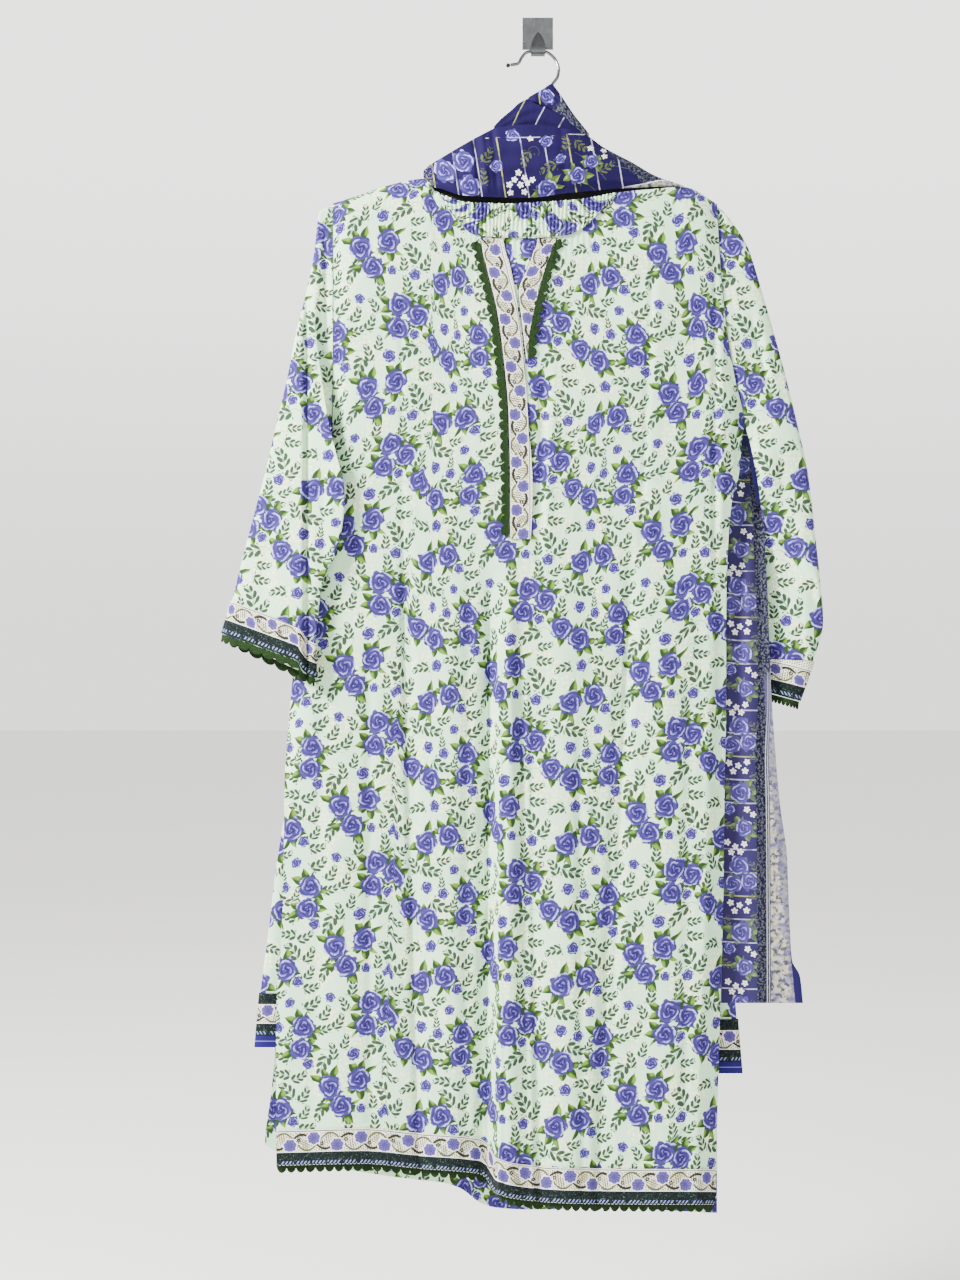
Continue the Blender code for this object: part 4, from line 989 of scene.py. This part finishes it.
# the cowl's own print, in millimetres from its left end and down from its lower edge
COWL_TILE = (300.0, 160.0)
COWL_STAMPS = (
    (21, -19, 12, 20, 1), (40, -34, 11.5, 110, 1), (46, -10, 11.5, 230, 1), (73, -31, 6.5, 70, 1),
    (89, -64, 7.5, 140, 1), (123, -56, 7, 60, 1), (137, -35, 5.5, 10, 1), (154, -17, 9, 200, 0),
    (123, -7, 10.5, 300, 0), (168, -30, 7.5, 100, 0), (86, -13, 3.4, 0, 2), (87, -5, 3.3, 30, 2),
    (95, -25, 3.4, 10, 2), (101, -20, 3.2, 50, 2), (91, -18, 3.3, 5, 2), (97, -13, 3.4, 40, 2),
    (104, -15, 3.2, 20, 2), (101, -6, 3.4, 0, 2), (109, -18, 3.3, 60, 2), (167, -44, 3.4, 15, 2),
    (180, -43, 3.3, 45, 2), (181, -35, 3.2, 30, 2), (107, -60, 3.4, 30, 2),
)
COWL_SPRIGS = (
    (102, -38, 9, 250, 1), (124, -28, 9, 200, 0), (158, -47, 9, 320, 1), (184, -24, 9, 30, 0), (64, -42, 9, 60, 0),
    (142, -52, 8, 100, 0), (60, -20, 8, 90, 0), (8, -4, 6, 0, 0),
)
POINT_STAMPS = ((18, -11, 8.5, 20, 1), (18, 120, 5, 0, 1))
LINE_PITCH = 23.5


def scarf_colour(n, along, uv, place_on, lines, stamps, sprigs, tile):
    """Navy lawn with thin lines right across it, violet roses, white stars and olive sprigs. Metres."""
    colour = n.mix(n.noise(uv, 24.0, 3.0), (0.0070, 0.0036, 0.034), (0.0110, 0.0054, 0.054))
    count = along * (1 / (LINE_PITCH * MM))
    off = abs(n.fraction(count) - 0.5)
    line = n.falling(off, 0.020, 0.034)
    third = n.math("FLOORED_MODULO", n.math("FLOOR", count), 3.0)
    yellow = n.math("LESS_THAN", third, 0.5)
    worn = n.rising(n.noise(place_on, 90.0, 1.0), 0.38, 0.5, 0.25, 0.85)
    colour = n.mix(line * worn * lines, colour, n.mix(yellow, (0.42, 0.42, 0.52), (0.34, 0.37, 0.05)))
    if not stamps:
        return colour
    local, number, kind = nearest_stamp(n, place_on, sprigs, tile)
    colour = n.mix(sprig(n, local, kind, 0.34) * 0.85, colour, (0.075, 0.095, 0.028))
    local, number, kind = nearest_stamp(n, place_on, stamps, tile)
    leaf, where = rose_leaves(n, local, number, n.math("MINIMUM", kind, 1.0))
    colour = n.mix(where, colour, n.mix(0.25, leaf, (0.16, 0.19, 0.04)))
    bloom, where = rose(n, local, number, petal_grain(n, uv))
    is_star = n.math("GREATER_THAN", kind, 1.5)
    colour = n.mix(where * (1.0 - is_star), colour, bloom)
    x, y, _ = n.split(local)
    reach = n.length(local)
    points = abs(n.math("COSINE", n.math("ARCTAN2", y, x) * 2.5))
    star = n.falling(reach - points * 0.5, 0.44, 0.54)
    white = n.mix(n.falling(reach, 0.14, 0.24), (0.80, 0.80, 0.76), (0.55, 0.45, 0.10))
    return n.mix(star * is_star, colour, white)


def fine_border_colour(n, uv):
    """A close grey and blue-black pattern."""
    coarse = n.noise(n.vector("MULTIPLY", uv, (1.0, 0.6, 1.0)), 420.0, 3.0)
    colour = n.mix(n.rising(coarse, 0.46, 0.62), (0.006, 0.005, 0.024), (0.050, 0.052, 0.085))
    return n.mix(n.dots(uv, 330.0, 0.3) * 0.45, colour, (0.14, 0.16, 0.13))


def cream_border_colour(n, uv):
    """A worn cream edge with grey leaves."""
    coarse = n.noise(uv, 210.0, 4.0)
    colour = n.mix(n.rising(coarse, 0.44, 0.60), (0.40, 0.39, 0.34), (0.055, 0.055, 0.085))
    colour = n.mix(n.rising(n.noise(uv, 110.0, 2.0), 0.52, 0.64, 0.0, 0.7), colour, (0.13, 0.12, 0.28))
    return n.mix(n.rising(n.noise(uv, 260.0, 1.0), 0.58, 0.66, 0.0, 0.8), colour, (0.34, 0.29, 0.11))


def scarf_cloth(name, along_u, edge=None):
    n = Nodes(name)
    uv = n.cloth_place()
    u, v, _ = n.split(uv)
    along, across = (u, v) if along_u else (v, u)
    lean = across * (0.5 if edge == "roll" else -0.155) if along_u else 0.0
    place_on = n.joined(across, along)
    lines, stamps, sprigs, tile = 1.0, SCARF_STAMPS, SCARF_SPRIGS, SCARF_TILE
    if edge == "cowl":
        lines = n.falling(v, 0.061, 0.062)
        place_on, stamps, sprigs, tile = uv, COWL_STAMPS, COWL_SPRIGS, COWL_TILE
    if edge in ("roll", "point"):
        stamps = ()
    colour = scarf_colour(n, along - lean, uv, place_on, lines, stamps, sprigs, tile)
    if edge == "tail":
        # painted light: paler than the same cloth round the neck, as the photo shows it
        colour = n.mix(0.11, colour, (0.17, 0.15, 0.36))
        colour = n.mix(n.rising(u, -0.0122, -0.0112), colour, fine_border_colour(n, uv))
        low = n.rising(v, -0.270, -0.250, 1.0, 0.0)
        lines = n.band(u, -0.0016, 0.0005, 0.0003) + n.band(u, 0.0006, 0.0004, 0.0003)
        colour = n.mix(lines * low * 0.8, colour, (0.44, 0.44, 0.48))
        colour = n.mix(n.rising(u, 0.0016, 0.0022) * low, colour, cream_border_colour(n, uv))
        # a plain strip of the cloth behind, where it turns at the top, and the folded corner at the foot
        strip = u - (-0.0115 - v * 0.0976)
        strip = n.band(strip, 0.0, 0.0035, 0.0008) * n.rising(v, -0.086, -0.082)
        colour = n.mix(strip, colour, (0.045, 0.030, 0.20))
        outer = u + v * 0.09
        # painted shade: the pale border is darkened towards its outer edge
        colour = n.mix(n.rising(outer, -0.0315, -0.0285, 0.0, 0.6) * low, colour, (0.075, 0.072, 0.14))
        corner = n.rising(outer, -0.0274, -0.0266) * n.falling(v, -0.542, -0.536)
        colour = n.mix(corner, colour, (0.012, 0.008, 0.060))
        # the thin plain selvedge
        plain = n.falling(u, -0.0485, -0.0470) * n.falling(v, -0.470, -0.430)
        colour = n.mix(plain, colour, (0.15, 0.18, 0.25))
    if edge == "cowl":
        end = n.rising(u, 0.196, 0.214)
        wide = n.rising(u, 0.196, 0.250, 0.0, 0.007)
        grey = n.rising(u + v * 0.9, 0.222, 0.226)
        colour = n.mix(grey, colour, fine_border_colour(n, uv))
        colour = n.mix(end * n.falling(v - wide, 0.0006, 0.0010), colour, cream_border_colour(n, uv))
        stripe = n.falling(abs(v - (wide + 0.0012)), 0.0004, 0.0008)
        colour = n.mix(end * stripe, colour, (0.72, 0.72, 0.70))
        speck = n.falling(u, 0.006, 0.012) * n.dots(uv, 420.0, 0.30)
        colour = n.mix(speck * 0.6, colour, (0.22, 0.22, 0.26))
        box = n.band(v, 0.0615, 0.0005, 0.0003) * n.band(u, 0.112, 0.050, 0.002)
        worn = n.rising(n.noise(uv, 90.0, 1.0), 0.42, 0.52)
        colour = n.mix(box * worn, colour, (0.42, 0.42, 0.50))
    if edge == "point":
        colour = n.mix(n.rising(u + v * -0.6, 0.022, 0.026), colour, fine_border_colour(n, uv))
        local, number, kind = nearest_stamp(n, uv, POINT_STAMPS, COWL_TILE)
        bloom, where = rose(n, local, number, petal_grain(n, uv))
        colour = n.mix(where, colour, bloom)
    n.set(Base_Color=colour, Roughness=0.80, Sheen_Weight=0.01, Normal=weave(n, uv, 0.25))
    n.set(Sheen_Roughness=0.4, Specular_IOR_Level=0.10)
    return n.material


def lace_thread(name):
    n = Nodes(name)
    uv = n.cloth_place()
    strands = n.noise(uv, 900.0, 3.0)
    colour = n.mix(n.rising(strands, 0.35, 0.7), (0.004, 0.013, 0.004), (0.024, 0.052, 0.013))
    n.set(Base_Color=colour, Roughness=0.9, Sheen_Weight=0.02, Normal=n.bump(strands, 0.0006, 0.8))
    n.set(Specular_IOR_Level=0.1)
    return n.material


def plain_thread(name, colour):
    n = Nodes(name)
    where = n.node("ShaderNodeTexCoord", {}, out=3)
    twist = n.node("ShaderNodeTexWave", {0: where, 1: 900.0}, out=1, bands_direction="DIAGONAL")
    shade = n.mix(twist, tuple(0.75 * c for c in colour), colour)
    n.set(Base_Color=shade, Roughness=0.8, Normal=n.bump(twist, 0.0001, 0.5))
    return n.material


def metal(name, colour, roughness, brushed):
    """Metal with fine wear: a brushed one has upright hairlines."""
    n = Nodes(name)
    where = n.node("ShaderNodeTexCoord", {}, out=3)
    stretch = (1.0, 1.0, 0.04) if brushed else (1.0, 1.0, 1.0)
    hair = n.noise(n.vector("MULTIPLY", where, stretch), 2600.0 if brushed else 320.0, 3.0)
    wear = n.noise(where, 90.0, 3.0)
    shade = n.mix(wear, tuple(0.86 * c for c in colour), colour)
    rough = n.rising(hair * 0.6 + wear * 0.4, 0.3, 0.7, roughness * 0.8, roughness * 1.25)
    n.set(Base_Color=shade, Roughness=rough, Normal=n.bump(hair, 0.00004, 0.5 if brushed else 0.1))
    n.set(Metallic=1.0)
    return n.material


def plastic_look(name, colour):
    n = Nodes(name)
    where = n.node("ShaderNodeTexCoord", {}, out=3)
    grain = n.noise(where, 1400.0, 2.0)
    wear = n.noise(where, 60.0, 3.0)
    rough = n.rising(wear, 0.3, 0.7, 0.38, 0.55)
    shade = n.mix(wear * 0.5, colour, tuple(1.6 * c for c in colour))
    n.set(Base_Color=shade, Roughness=rough, Normal=n.bump(grain, 0.00005, 0.4))
    n.set(Specular_IOR_Level=0.25)
    return n.material


# sewing
def stitches(name, points, outward, look, long=2.6, gap=1.2, radius=0.22):
    """A row of small sewn stitches along points in metres, lying on the side that `outward` gives."""
    steps = np.linalg.norm(np.diff(points, axis=0), axis=1)
    far = np.concatenate([[0], np.cumsum(steps)])
    count = max(int(far[-1] / ((long + gap) * MM)), 1)
    starts = (np.arange(count) + 0.5) * far[-1] / count - long / 2 * MM
    rings, around = 4, 6
    verts = []
    faces = []
    for start in starts:
        ends = [
            np.array([np.interp(start + at * MM, far, points[:, axis]) for axis in range(3)]) for at in (0.0, long)
        ]
        normal = np.array([np.interp(start, far, outward[:, axis]) for axis in range(3)])
        way = ends[1] - ends[0]
        side = np.cross(way, normal)
        side /= max(np.linalg.norm(side), 1e-12)
        base = len(verts)
        for ring in range(rings):
            share = (0.0, 0.15, 0.85, 1.0)[ring]
            wide = (0.35, 1.0, 1.0, 0.35)[ring] * radius * MM
            middle = ends[0] + way * share + normal * (-0.1 if ring in (0, 3) else 0.1) * MM
            for k in range(around):
                turn = 2 * math.pi * k / around
                verts.append(middle + side * wide * math.cos(turn) + normal * wide * math.sin(turn))
        for ring in range(rings - 1):
            for k in range(around):
                a = base + ring * around + k
                b = base + ring * around + (k + 1) % around
                faces.append((a, b, b + around, a + around))
        faces.append(tuple(base + k for k in reversed(range(around))))
        faces.append(tuple(base + (rings - 1) * around + k for k in range(around)))
    mesh = bpy.data.meshes.new(name)
    mesh.from_pydata([tuple(v) for v in verts], [], faces)
    mesh.materials.append(look)
    mesh.shade_smooth()
    return in_scene(name, mesh)


def seam(name, surface, spots, distance, look, way=1, **sizes):
    """Stitches on a surface through shares (a, b) of it, this far out."""
    a = np.array([spot[0] for spot in spots])
    b = np.array([spot[1] for spot in spots])
    low = moved_out(surface, a, b, way * distance)
    high = moved_out(surface, a, b, way * (distance + 1.0))
    return stitches(name, low, (high - low) / MM, look, **sizes)


def scalloped(surface, cut, count, ridge):
    """A strip whose far edge is cut in round scallops, with spokes worked in it."""

    def point(across, down):
        phase = np.abs(np.sin(math.pi * count * across))
        reach = down * (1 - cut * (1 - phase ** 0.6))
        return moved_out(surface, across, reach, ridge * np.sin(10 * math.pi * count * across) * down)

    return point


# studio
def make_camera():
    lens = bpy.data.cameras.new("view")
    lens.sensor_width = SENSOR
    lens.lens = SENSOR * EYE_DISTANCE / PHOTO_HEIGHT
    camera = in_scene("view", lens)
    camera.location = (EYE_X * MM, -(EYE_DISTANCE + TABLE_DEPTH) * MM, -EYE_DROP * MM)
    camera.rotation_euler = (math.pi / 2, 0, 0)
    bpy.context.scene.camera = camera


def add_light(name, place_at, target, size, power, colour):
    light = bpy.data.lights.new(name, "AREA")
    light.shape = "DISK"
    light.size = size
    light.energy = power
    light.color = colour
    made = in_scene(name, light)
    made.location = place_at
    made.rotation_euler = (Vector(target) - Vector(place_at)).to_track_quat("-Z", "Y").to_euler()


def make_room():
    n = Nodes("floor_paper")
    where = n.node("ShaderNodeTexCoord", {}, out=3)
    n.set(Base_Color=n.mix(n.noise(where, 3.0, 2.0), (0.90, 0.895, 0.88), (0.92, 0.915, 0.90)), Roughness=0.9)
    mesh = bpy.data.meshes.new("floor")
    corners = [(x * FLOOR_HALF, y * FLOOR_HALF, FLOOR_LEVEL) for x, y in ((-1, -1), (1, -1), (1, 1), (-1, 1))]
    mesh.from_pydata(corners, [], [(0, 1, 2, 3)])
    mesh.materials.append(n.material)
    in_scene("floor", mesh)
    world = bpy.data.worlds.new("studio")
    bpy.context.scene.world = world
    world.use_nodes = True
    nodes = world.node_tree.nodes
    links = world.node_tree.links
    sky = nodes["Background"]
    sky.inputs["Color"].default_value = (0.95, 0.945, 0.925, 1.0)
    split = nodes.new("ShaderNodeSeparateXYZ")
    links.new(nodes.new("ShaderNodeTexCoord").outputs["Generated"], split.inputs[0])
    strength = nodes.new("ShaderNodeMath")
    strength.operation = "MULTIPLY"
    links.new(strength.outputs[0], sky.inputs["Strength"])
    # brighter from in front of the suit to behind it, and from the floor's tone at the horizon to the full one above
    ramps = ((1, "LINEAR", (-0.4, 0.6, 0.74, 2.9)), (2, "SMOOTHSTEP", (0.0, 0.30, 0.66, 1.0)))
    for index, (axis, kind, numbers) in enumerate(ramps):
        ramp = nodes.new("ShaderNodeMapRange")
        ramp.interpolation_type = kind
        for place_in, number in enumerate(numbers, 1):
            ramp.inputs[place_in].default_value = number
        links.new(split.outputs[axis], ramp.inputs[0])
        links.new(ramp.outputs[0], strength.inputs[index])
    middle = (-0.05, 0.0, -0.62)
    add_light("key", (-1.8, -1.1, 0.7), middle, 0.6, 235.0, (1.0, 0.99, 0.97))
    add_light("fill", (1.6, -1.9, -0.3), middle, 1.6, 12.0, (0.97, 0.985, 1.0))
    add_light("back", (0.6, 1.6, 0.8), middle, 1.4, 6.0, (1.0, 1.0, 1.0))


def add_hook_and_hanger(frame, looks):
    kept = {"wall_plate": "steel", "hanger_body": "plastic", "hanger_bar": "plastic", "hanger_hook_tip": "rubber"}
    for node, look in kept.items():
        materials = frame["nodes"][node].data.materials
        materials.clear()
        materials.append(looks[look])

    rows = numbered(TONGUE)

    def tongue(across, along):
        at = along * (len(TONGUE["drop"]) - 1)
        half = smooth(rows, "row", "half_width", at)
        spots = ((2 * across - 1) * half, -smooth(rows, "row", "depth", at), -smooth(rows, "row", "drop", at))
        return np.stack(spots, axis=-1) * MM

    show(cloth("wall_hook_tongue", tongue, 17, 73, looks["tongue"], 1.2), ["wall_hook"])

    rows = numbered(HOOK_WIRE)
    at = np.linspace(0, len(HOOK_WIRE["x"]) - 1, 120)
    points = place(*(smooth(rows, "row", name, at) for name in ("x", "drop", "depth")))
    show(tube("hanger_wire", points, WIRE_RADIUS, looks["chrome"]), ["hanger_hook"])


def add_lace(name, node, surface, count, ridge, look, flat, rests_on, **options):
    sheet(
        name, node, "green_lace", scalloped(surface, LACE_CUT, count, ridge), count * SCALLOP_COLUMNS + 1, 8, look,
        flat, rests_on, wall=LACE_WALL, **options,
    )


def add_kameez(looks):
    wide_marks = ((0.5, 0.2, 1.6), (0.0, 0.03, 2.0), (1.0, 0.05, 1.5)), ((0.0, 0.03, 2.0), (1.0, 0.03, 2.0))
    long_marks = ((0.0, 0.01, 6.0), (0.05, 0.03, 1.0), (0.24, 0.03, 0.6)), ((0.0, 0.01, 6.0), (0.24, 0.03, 0.6))
    panels = (
        ("front", (FRONT_SIDES, FRONT_TOP, FRONT_HEM), front_surface, (0.008, 0.0), 0.50, 251, 186),
        ("back", (BACK_SIDES, BACK_TOP, BACK_HEM), back_surface, (0.05, 0.03), 0.47, 121, 141),
    )
    for (side, outline, surface, start, width, columns, rows), wide, tall in zip(panels, wide_marks, long_marks):
        across = spread_shares(columns, wide)
        _, drop = panel_spot(*outline, across, 0.0 * across)
        sheet(
            f"{side}_panel", f"kameez_{side}", "mint_floral", surface, across, spread_shares(rows, tall),
            looks["floral"], (width, 1.03), ["hanger_body"], columns_start=-drop * MM, start=start,
        )

    band_start = NECK_EDGE["x"][0] + 4
    band_width = NECK_EDGE["x"][-1] - 3 - band_start

    def band_surface(across, down):
        x = band_start + band_width * across
        high = smooth(NECK_EDGE, "x", "drop", x)
        low = np.maximum(smooth(BAND_EDGE, "x", "drop", x), high + 1.5)
        drop = high + (low - high) * down
        return place(x, drop, front_depth(x, drop) + RISE + 0.5)

    def gathered_band(across, down):
        x = across * band_width
        phase = 2 * math.pi * (x / 4.1 + 0.25 * np.sin(x / 9.0) + 0.12 * np.sin(x / 3.1 + 9 * down))
        height = 2.6 * (1 - np.abs(np.sin(phase / 2))) ** 0.7 - 0.8
        return moved_out(band_surface, across, down, height * (0.75 + 0.25 * np.cos(math.pi * down)))

    sheet(
        "neck_gathers", "neck_band", "mint_floral", gathered_band, 441, 13, looks["floral"], (0.185, 0.036),
        ["front_panel"], "gathered", wall=0.6, start=(0.02, -0.17),
    )

    def hem_border(across, down):
        x, drop = panel_spot(FRONT_SIDES, FRONT_TOP, FRONT_HEM, across, 1.0 + 0.0 * across)
        share = 1 - BORDER_HEIGHT / (drop - smooth(FRONT_TOP, "x", "drop", x)) * (1 - down)
        return moved_out(front_surface, across, share, RISE - 0.4)

    across = spread_shares(241, ((0.5, 0.12, 2.0), (0.0, 0.03, 2.0), (1.0, 0.05, 1.5)))
    sheet(
        "hem_band", "hem_border", "vine_border", hem_border, across, 13, looks["hem"], (0.48, 0.036),
        ["front_panel"], low_edge=True,
    )

    def below_hem(across, down):
        edge = moved_out(front_surface, across, 1.0 + 0.0 * across, -2.4)
        return edge + np.stack([0 * down, 0 * down, (2 - 10 * down) * MM], axis=-1)

    add_lace("hem_scallops", "hem_lace", below_hem, 46, 0.35, looks["lace"], (0.50, 0.010), ["front_panel"])
    return hem_border, band_surface


def place_out(x, drop, distance):
    return moved_out(on_front, x, drop, distance)


def add_plackets(looks):
    sides = (("left", PLACKET_LEFT, 0.024, 0, -1), ("right", PLACKET_RIGHT, 0.016, 1, 1))
    for side, rows, width, outer, away in sides:

        def raised(across, down, rows=rows):
            return place_out(*strip_spot(rows, across, down), RISE - 0.2)

        length = rows["drop"][-1] - rows["drop"][0]
        sheet(
            f"placket_strip_{side}", f"placket_{side}", "vine_border", raised, 15, int(length / 3),
            looks["placket"], (width, length * MM), ["front_panel"], left_edge=True,
        )

        def trim(along, out, rows=rows, outer=outer, away=away):
            x, drop = strip_spot(rows, outer, 0.01 + 0.98 * along)
            return place_out(x + away * (0.6 + 8.6 * out), drop, RISE - 0.1)

        add_lace(
            f"placket_scallops_{side}", f"placket_lace_{side}", trim, round(length / 10.6), 0.35, looks["lace"],
            (length * MM, 0.0102), ["front_panel"],
        )


def add_sleeves(looks):
    sides = (
        ("left", left_sleeve, LEFT_SLEEVE, LEFT_BORDER_ROW, 1, -0.22, 0.21),
        ("right", right_sleeve, RIGHT_SLEEVE, RIGHT_BORDER_ROW, -1, 0.15, 0.12),
    )
    for side, surface, rows, border_row, way, lean, round_cuff in sides:
        start = border_row / (len(rows["out_x"]) - 1)
        down = np.concatenate([np.linspace(0, start, 111), np.linspace(start, 1, 13)[1:]])
        sheet(
            f"sleeve_cloth_{side}", f"sleeve_{side}", "mint_floral", surface, 121, down, looks["floral"],
            (0.20, 0.40), ["front_panel"], area=0.068, closed=True, start=(0.03, 0.02), lean=lean,
        )

        def cuff(around, down, surface=surface, start=start, way=way):
            share = np.minimum(start + (1 - start) * down, 0.999)
            return moved_out(surface, around, share, way * (RISE - 0.4))

        sheet(
            f"cuff_band_{side}", f"cuff_border_{side}", "vine_border", cuff, 121, 13, looks["cuff"],
            (round_cuff, 0.036), [f"sleeve_cloth_{side}"], closed=True, low_edge=True,
        )

        ends = [(surface(np.array(0.0), np.array(at)) + surface(np.array(0.5), np.array(at))) / 2 for at in (0.95, 1)]
        arm = (ends[1] - ends[0]) / np.linalg.norm(ends[1] - ends[0])

        def beyond(around, down, surface=surface, arm=arm):
            edge = surface(around, 1.0 + 0.0 * around)
            return edge + arm * ((0.6 + 8.0 * down)[..., None] * MM)

        add_lace(
            f"cuff_scallops_{side}", f"cuff_lace_{side}", beyond, 22, 0.3, looks["lace"], (round_cuff, 0.0102),
            [f"cuff_band_{side}"], area=0.0075 * round_cuff, closed=True,
        )


def add_armhole_seams(looks):
    """A turned seam along each armhole, from the shoulder to the armpit. Its thread is painted dark, as painted shade
    along the armhole.
    """
    drop = np.linspace(SHOULDER_DROP + 8, ARMPIT_DROP + 2, 60)
    for side, way in (("left", -1), ("right", 1)):
        x = smooth(FRONT_SIDES, "drop", side, drop) - way * 0.1
        depth = side_depth(drop, side == "right", True) + 0.1
        made = tube(f"armhole_seam_{side}", place(x, drop, depth), SEAM_RADIUS, looks["seam"], sides=2)
        show(made, [])


def add_trousers(looks):
    for side, rows in (("left", LEFT_LEG), ("right", RIGHT_LEG)):
        length = leg_length(rows)
        to_bar = (rows["drop"][-1] - BAR_DROP) / length
        over = to_bar + math.pi * LEG_BEND / length
        way = 1 if side == "left" else -1

        def leg(around, along, rows=rows):
            return leg_point(rows, around, along)

        down = np.concatenate(
            [np.linspace(0, to_bar, 81), np.linspace(to_bar, over, 17)[1:], np.linspace(over, 1, 21)[1:]]
        )
        around = spread_shares(91, ((0.5, 0.03, 5.0),))
        sheet(
            f"trouser_leg_{side}", f"trousers_leg_{side}", "mint_floral", leg, around, down, looks["floral"],
            (0.50, length * MM), ["hanger_bar"], "draped", upward=True, start=(0.07, 0.05),
        )

        def hem_band(around, along, leg=leg, length=length, way=way):
            return moved_out(leg, around, along * TROUSER_BORDER / length, way * (RISE - 0.4))

        sheet(
            f"trouser_band_{side}", f"trousers_hem_{side}", "trouser_border", hem_band, around, 15,
            looks["trouser_hem"], (0.50, TROUSER_BORDER * MM), [f"trouser_leg_{side}"], upward=True,
        )

    left = LEFT_LEG["outer"][0]
    right = RIGHT_LEG["outer"][0]

    def waist(around, down):
        turn = 2 * math.pi * around
        x = (left + right) / 2 - (right - left) / 2 * np.cos(turn)
        offset = LEG_HALF_GAP * np.sign(np.sin(turn)) * np.minimum(1.0, 3 * np.abs(np.sin(turn)))
        drop = BAR_DROP + WAIST_FLAP + 0.3 + CASING_HEIGHT * down
        return place(x, drop, HANGER_DEPTH + LEG_BEND + offset)

    def gathered_waist(around, down):
        height = 0.5 * np.sin(2 * math.pi * 96 * around) * np.sin(math.pi * np.clip(down, 0, 1)) ** 0.5
        return moved_out(waist, around, down, height)

    sheet(
        "waist_casing", "trousers_waist", "mint_casing", gathered_waist, 769, 9, looks["floral"], (0.82, 0.036),
        ["trouser_leg_left", "trouser_leg_right"], "gathered", wall=0.8, closed=True,
    )


def add_dupatta(looks):
    wraps = (
        ("cowl_front", COWL, 8, 0.9, 0.5, "dupatta_front", "cowl", (0.27, 0.055), 161, 61),
        ("neck_roll", ROLL, 3, 0.5, 0.3, "dupatta_roll", "roll", (0.10, 0.034), 81, 33),
        ("neck_point", CONE, 2, 0.3, 0.2, "dupatta_top", "point", (0.070, 0.017), 81, 33),
        ("neck_behind", NECK_BACK, -3, 0.5, 0.3, "dupatta_back", "scarf", (0.27, 0.085), 161, 61),
    )
    for name, rows, tuck, ridges, pleats, node, look, flat, columns, lines in wraps:
        sheet(
            name, node, "navy_dupatta", wrap_surface(rows, tuck, ridges, pleats), columns, lines, looks[look], flat,
            ["hanger_body"], "draped", low_edge=True,
            print_u=lambda a, b, rows=rows: (rows["x"][-1] - rows["x"][0]) * MM * a,
        )
    hangs = (
        ("behind_shoulder", LINK, 0.8, 2, "dupatta_link", "scarf", None, (0.055, 0.23), 41, 61),
        ("end_right", TAIL_RIGHT, 1.3, 2, "dupatta_tail_right", "tail", tail_u, (0.065, 0.60), 61, 161),
        ("end_behind", TAIL_LEFT, 1.0, 3, "dupatta_tail_left", "scarf", None, (0.12, 0.80), 61, 121),
    )
    for name, rows, wave, waves, node, look, print_u, flat, columns, lines in hangs:
        surface = hanging_surface(rows, wave, waves)
        sheet(name, node, "navy_dupatta", surface, columns, lines, looks[look], flat, ["hanger_body"], print_u=print_u)


def add_sewing(looks, hem_border, band_surface):
    t = np.linspace(0.004, 0.996, 260)
    for name, down in (("high", 0.02), ("low", 0.97)):
        made = seam(f"hem_stitches_{name}", hem_border, [(k, down) for k in t], 0.55, looks["thread"])
        show(made, [])
    made = seam(
        "neck_stitches", band_surface, [(k, 0.97) for k in np.linspace(0.06, 0.94, 160)], 1.4, looks["dark_thread"],
        long=3.0, gap=1.6, radius=0.3,
    )
    show(made, [])


def main():
    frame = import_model()
    make_camera()
    make_room()
    looks = {
        "floral": cotton("mint_floral"),
        "hem": border_cloth("hem_vine", False, 13.0, 22.0),
        "cuff": border_cloth("cuff_vine", False, 13.5, 18.5),
        "placket": border_cloth("placket_vine", True, 0.0, 20.5),
        "trouser_hem": border_cloth("trouser_vine", False, 23.5, 21.0, navy_height=11.5),
        "lace": lace_thread("green_lace"),
        "scarf": scarf_cloth("navy_scarf", False),
        "tail": scarf_cloth("navy_tail", False, "tail"),
        "cowl": scarf_cloth("navy_cowl", True, "cowl"),
        "roll": scarf_cloth("navy_roll", True, "roll"),
        "point": scarf_cloth("navy_point", True, "point"),
        "steel": metal("brushed_plate", (0.235, 0.245, 0.255), 0.38, True),
        # painted shade: the tongue is the plate's steel made darker, for the darker reflections of its bend
        "tongue": metal("brushed_tongue", (0.11, 0.115, 0.12), 0.34, True),
        "chrome": metal("bright_wire", (0.23, 0.23, 0.245), 0.22, False),
        "plastic": plastic_look("black_hanger", (0.012, 0.012, 0.013)),
        "rubber": plastic_look("black_tip", (0.006, 0.006, 0.006)),
        "thread": plain_thread("white_thread", (0.62, 0.62, 0.60)),
        # painted shade: the armhole seam's thread is much darker than the cloth, standing in for the shadow along the
        # seam
        "seam": plain_thread("shaded_seam_thread", (0.06, 0.095, 0.075)),
        "dark_thread": plain_thread("green_thread", (0.10, 0.14, 0.10)),
    }
    add_hook_and_hanger(frame, looks)
    hem_border, band_surface = add_kameez(looks)
    add_plackets(looks)
    add_sleeves(looks)
    add_armhole_seams(looks)
    add_trousers(looks)
    add_dupatta(looks)
    add_sewing(looks, hem_border, band_surface)


main()
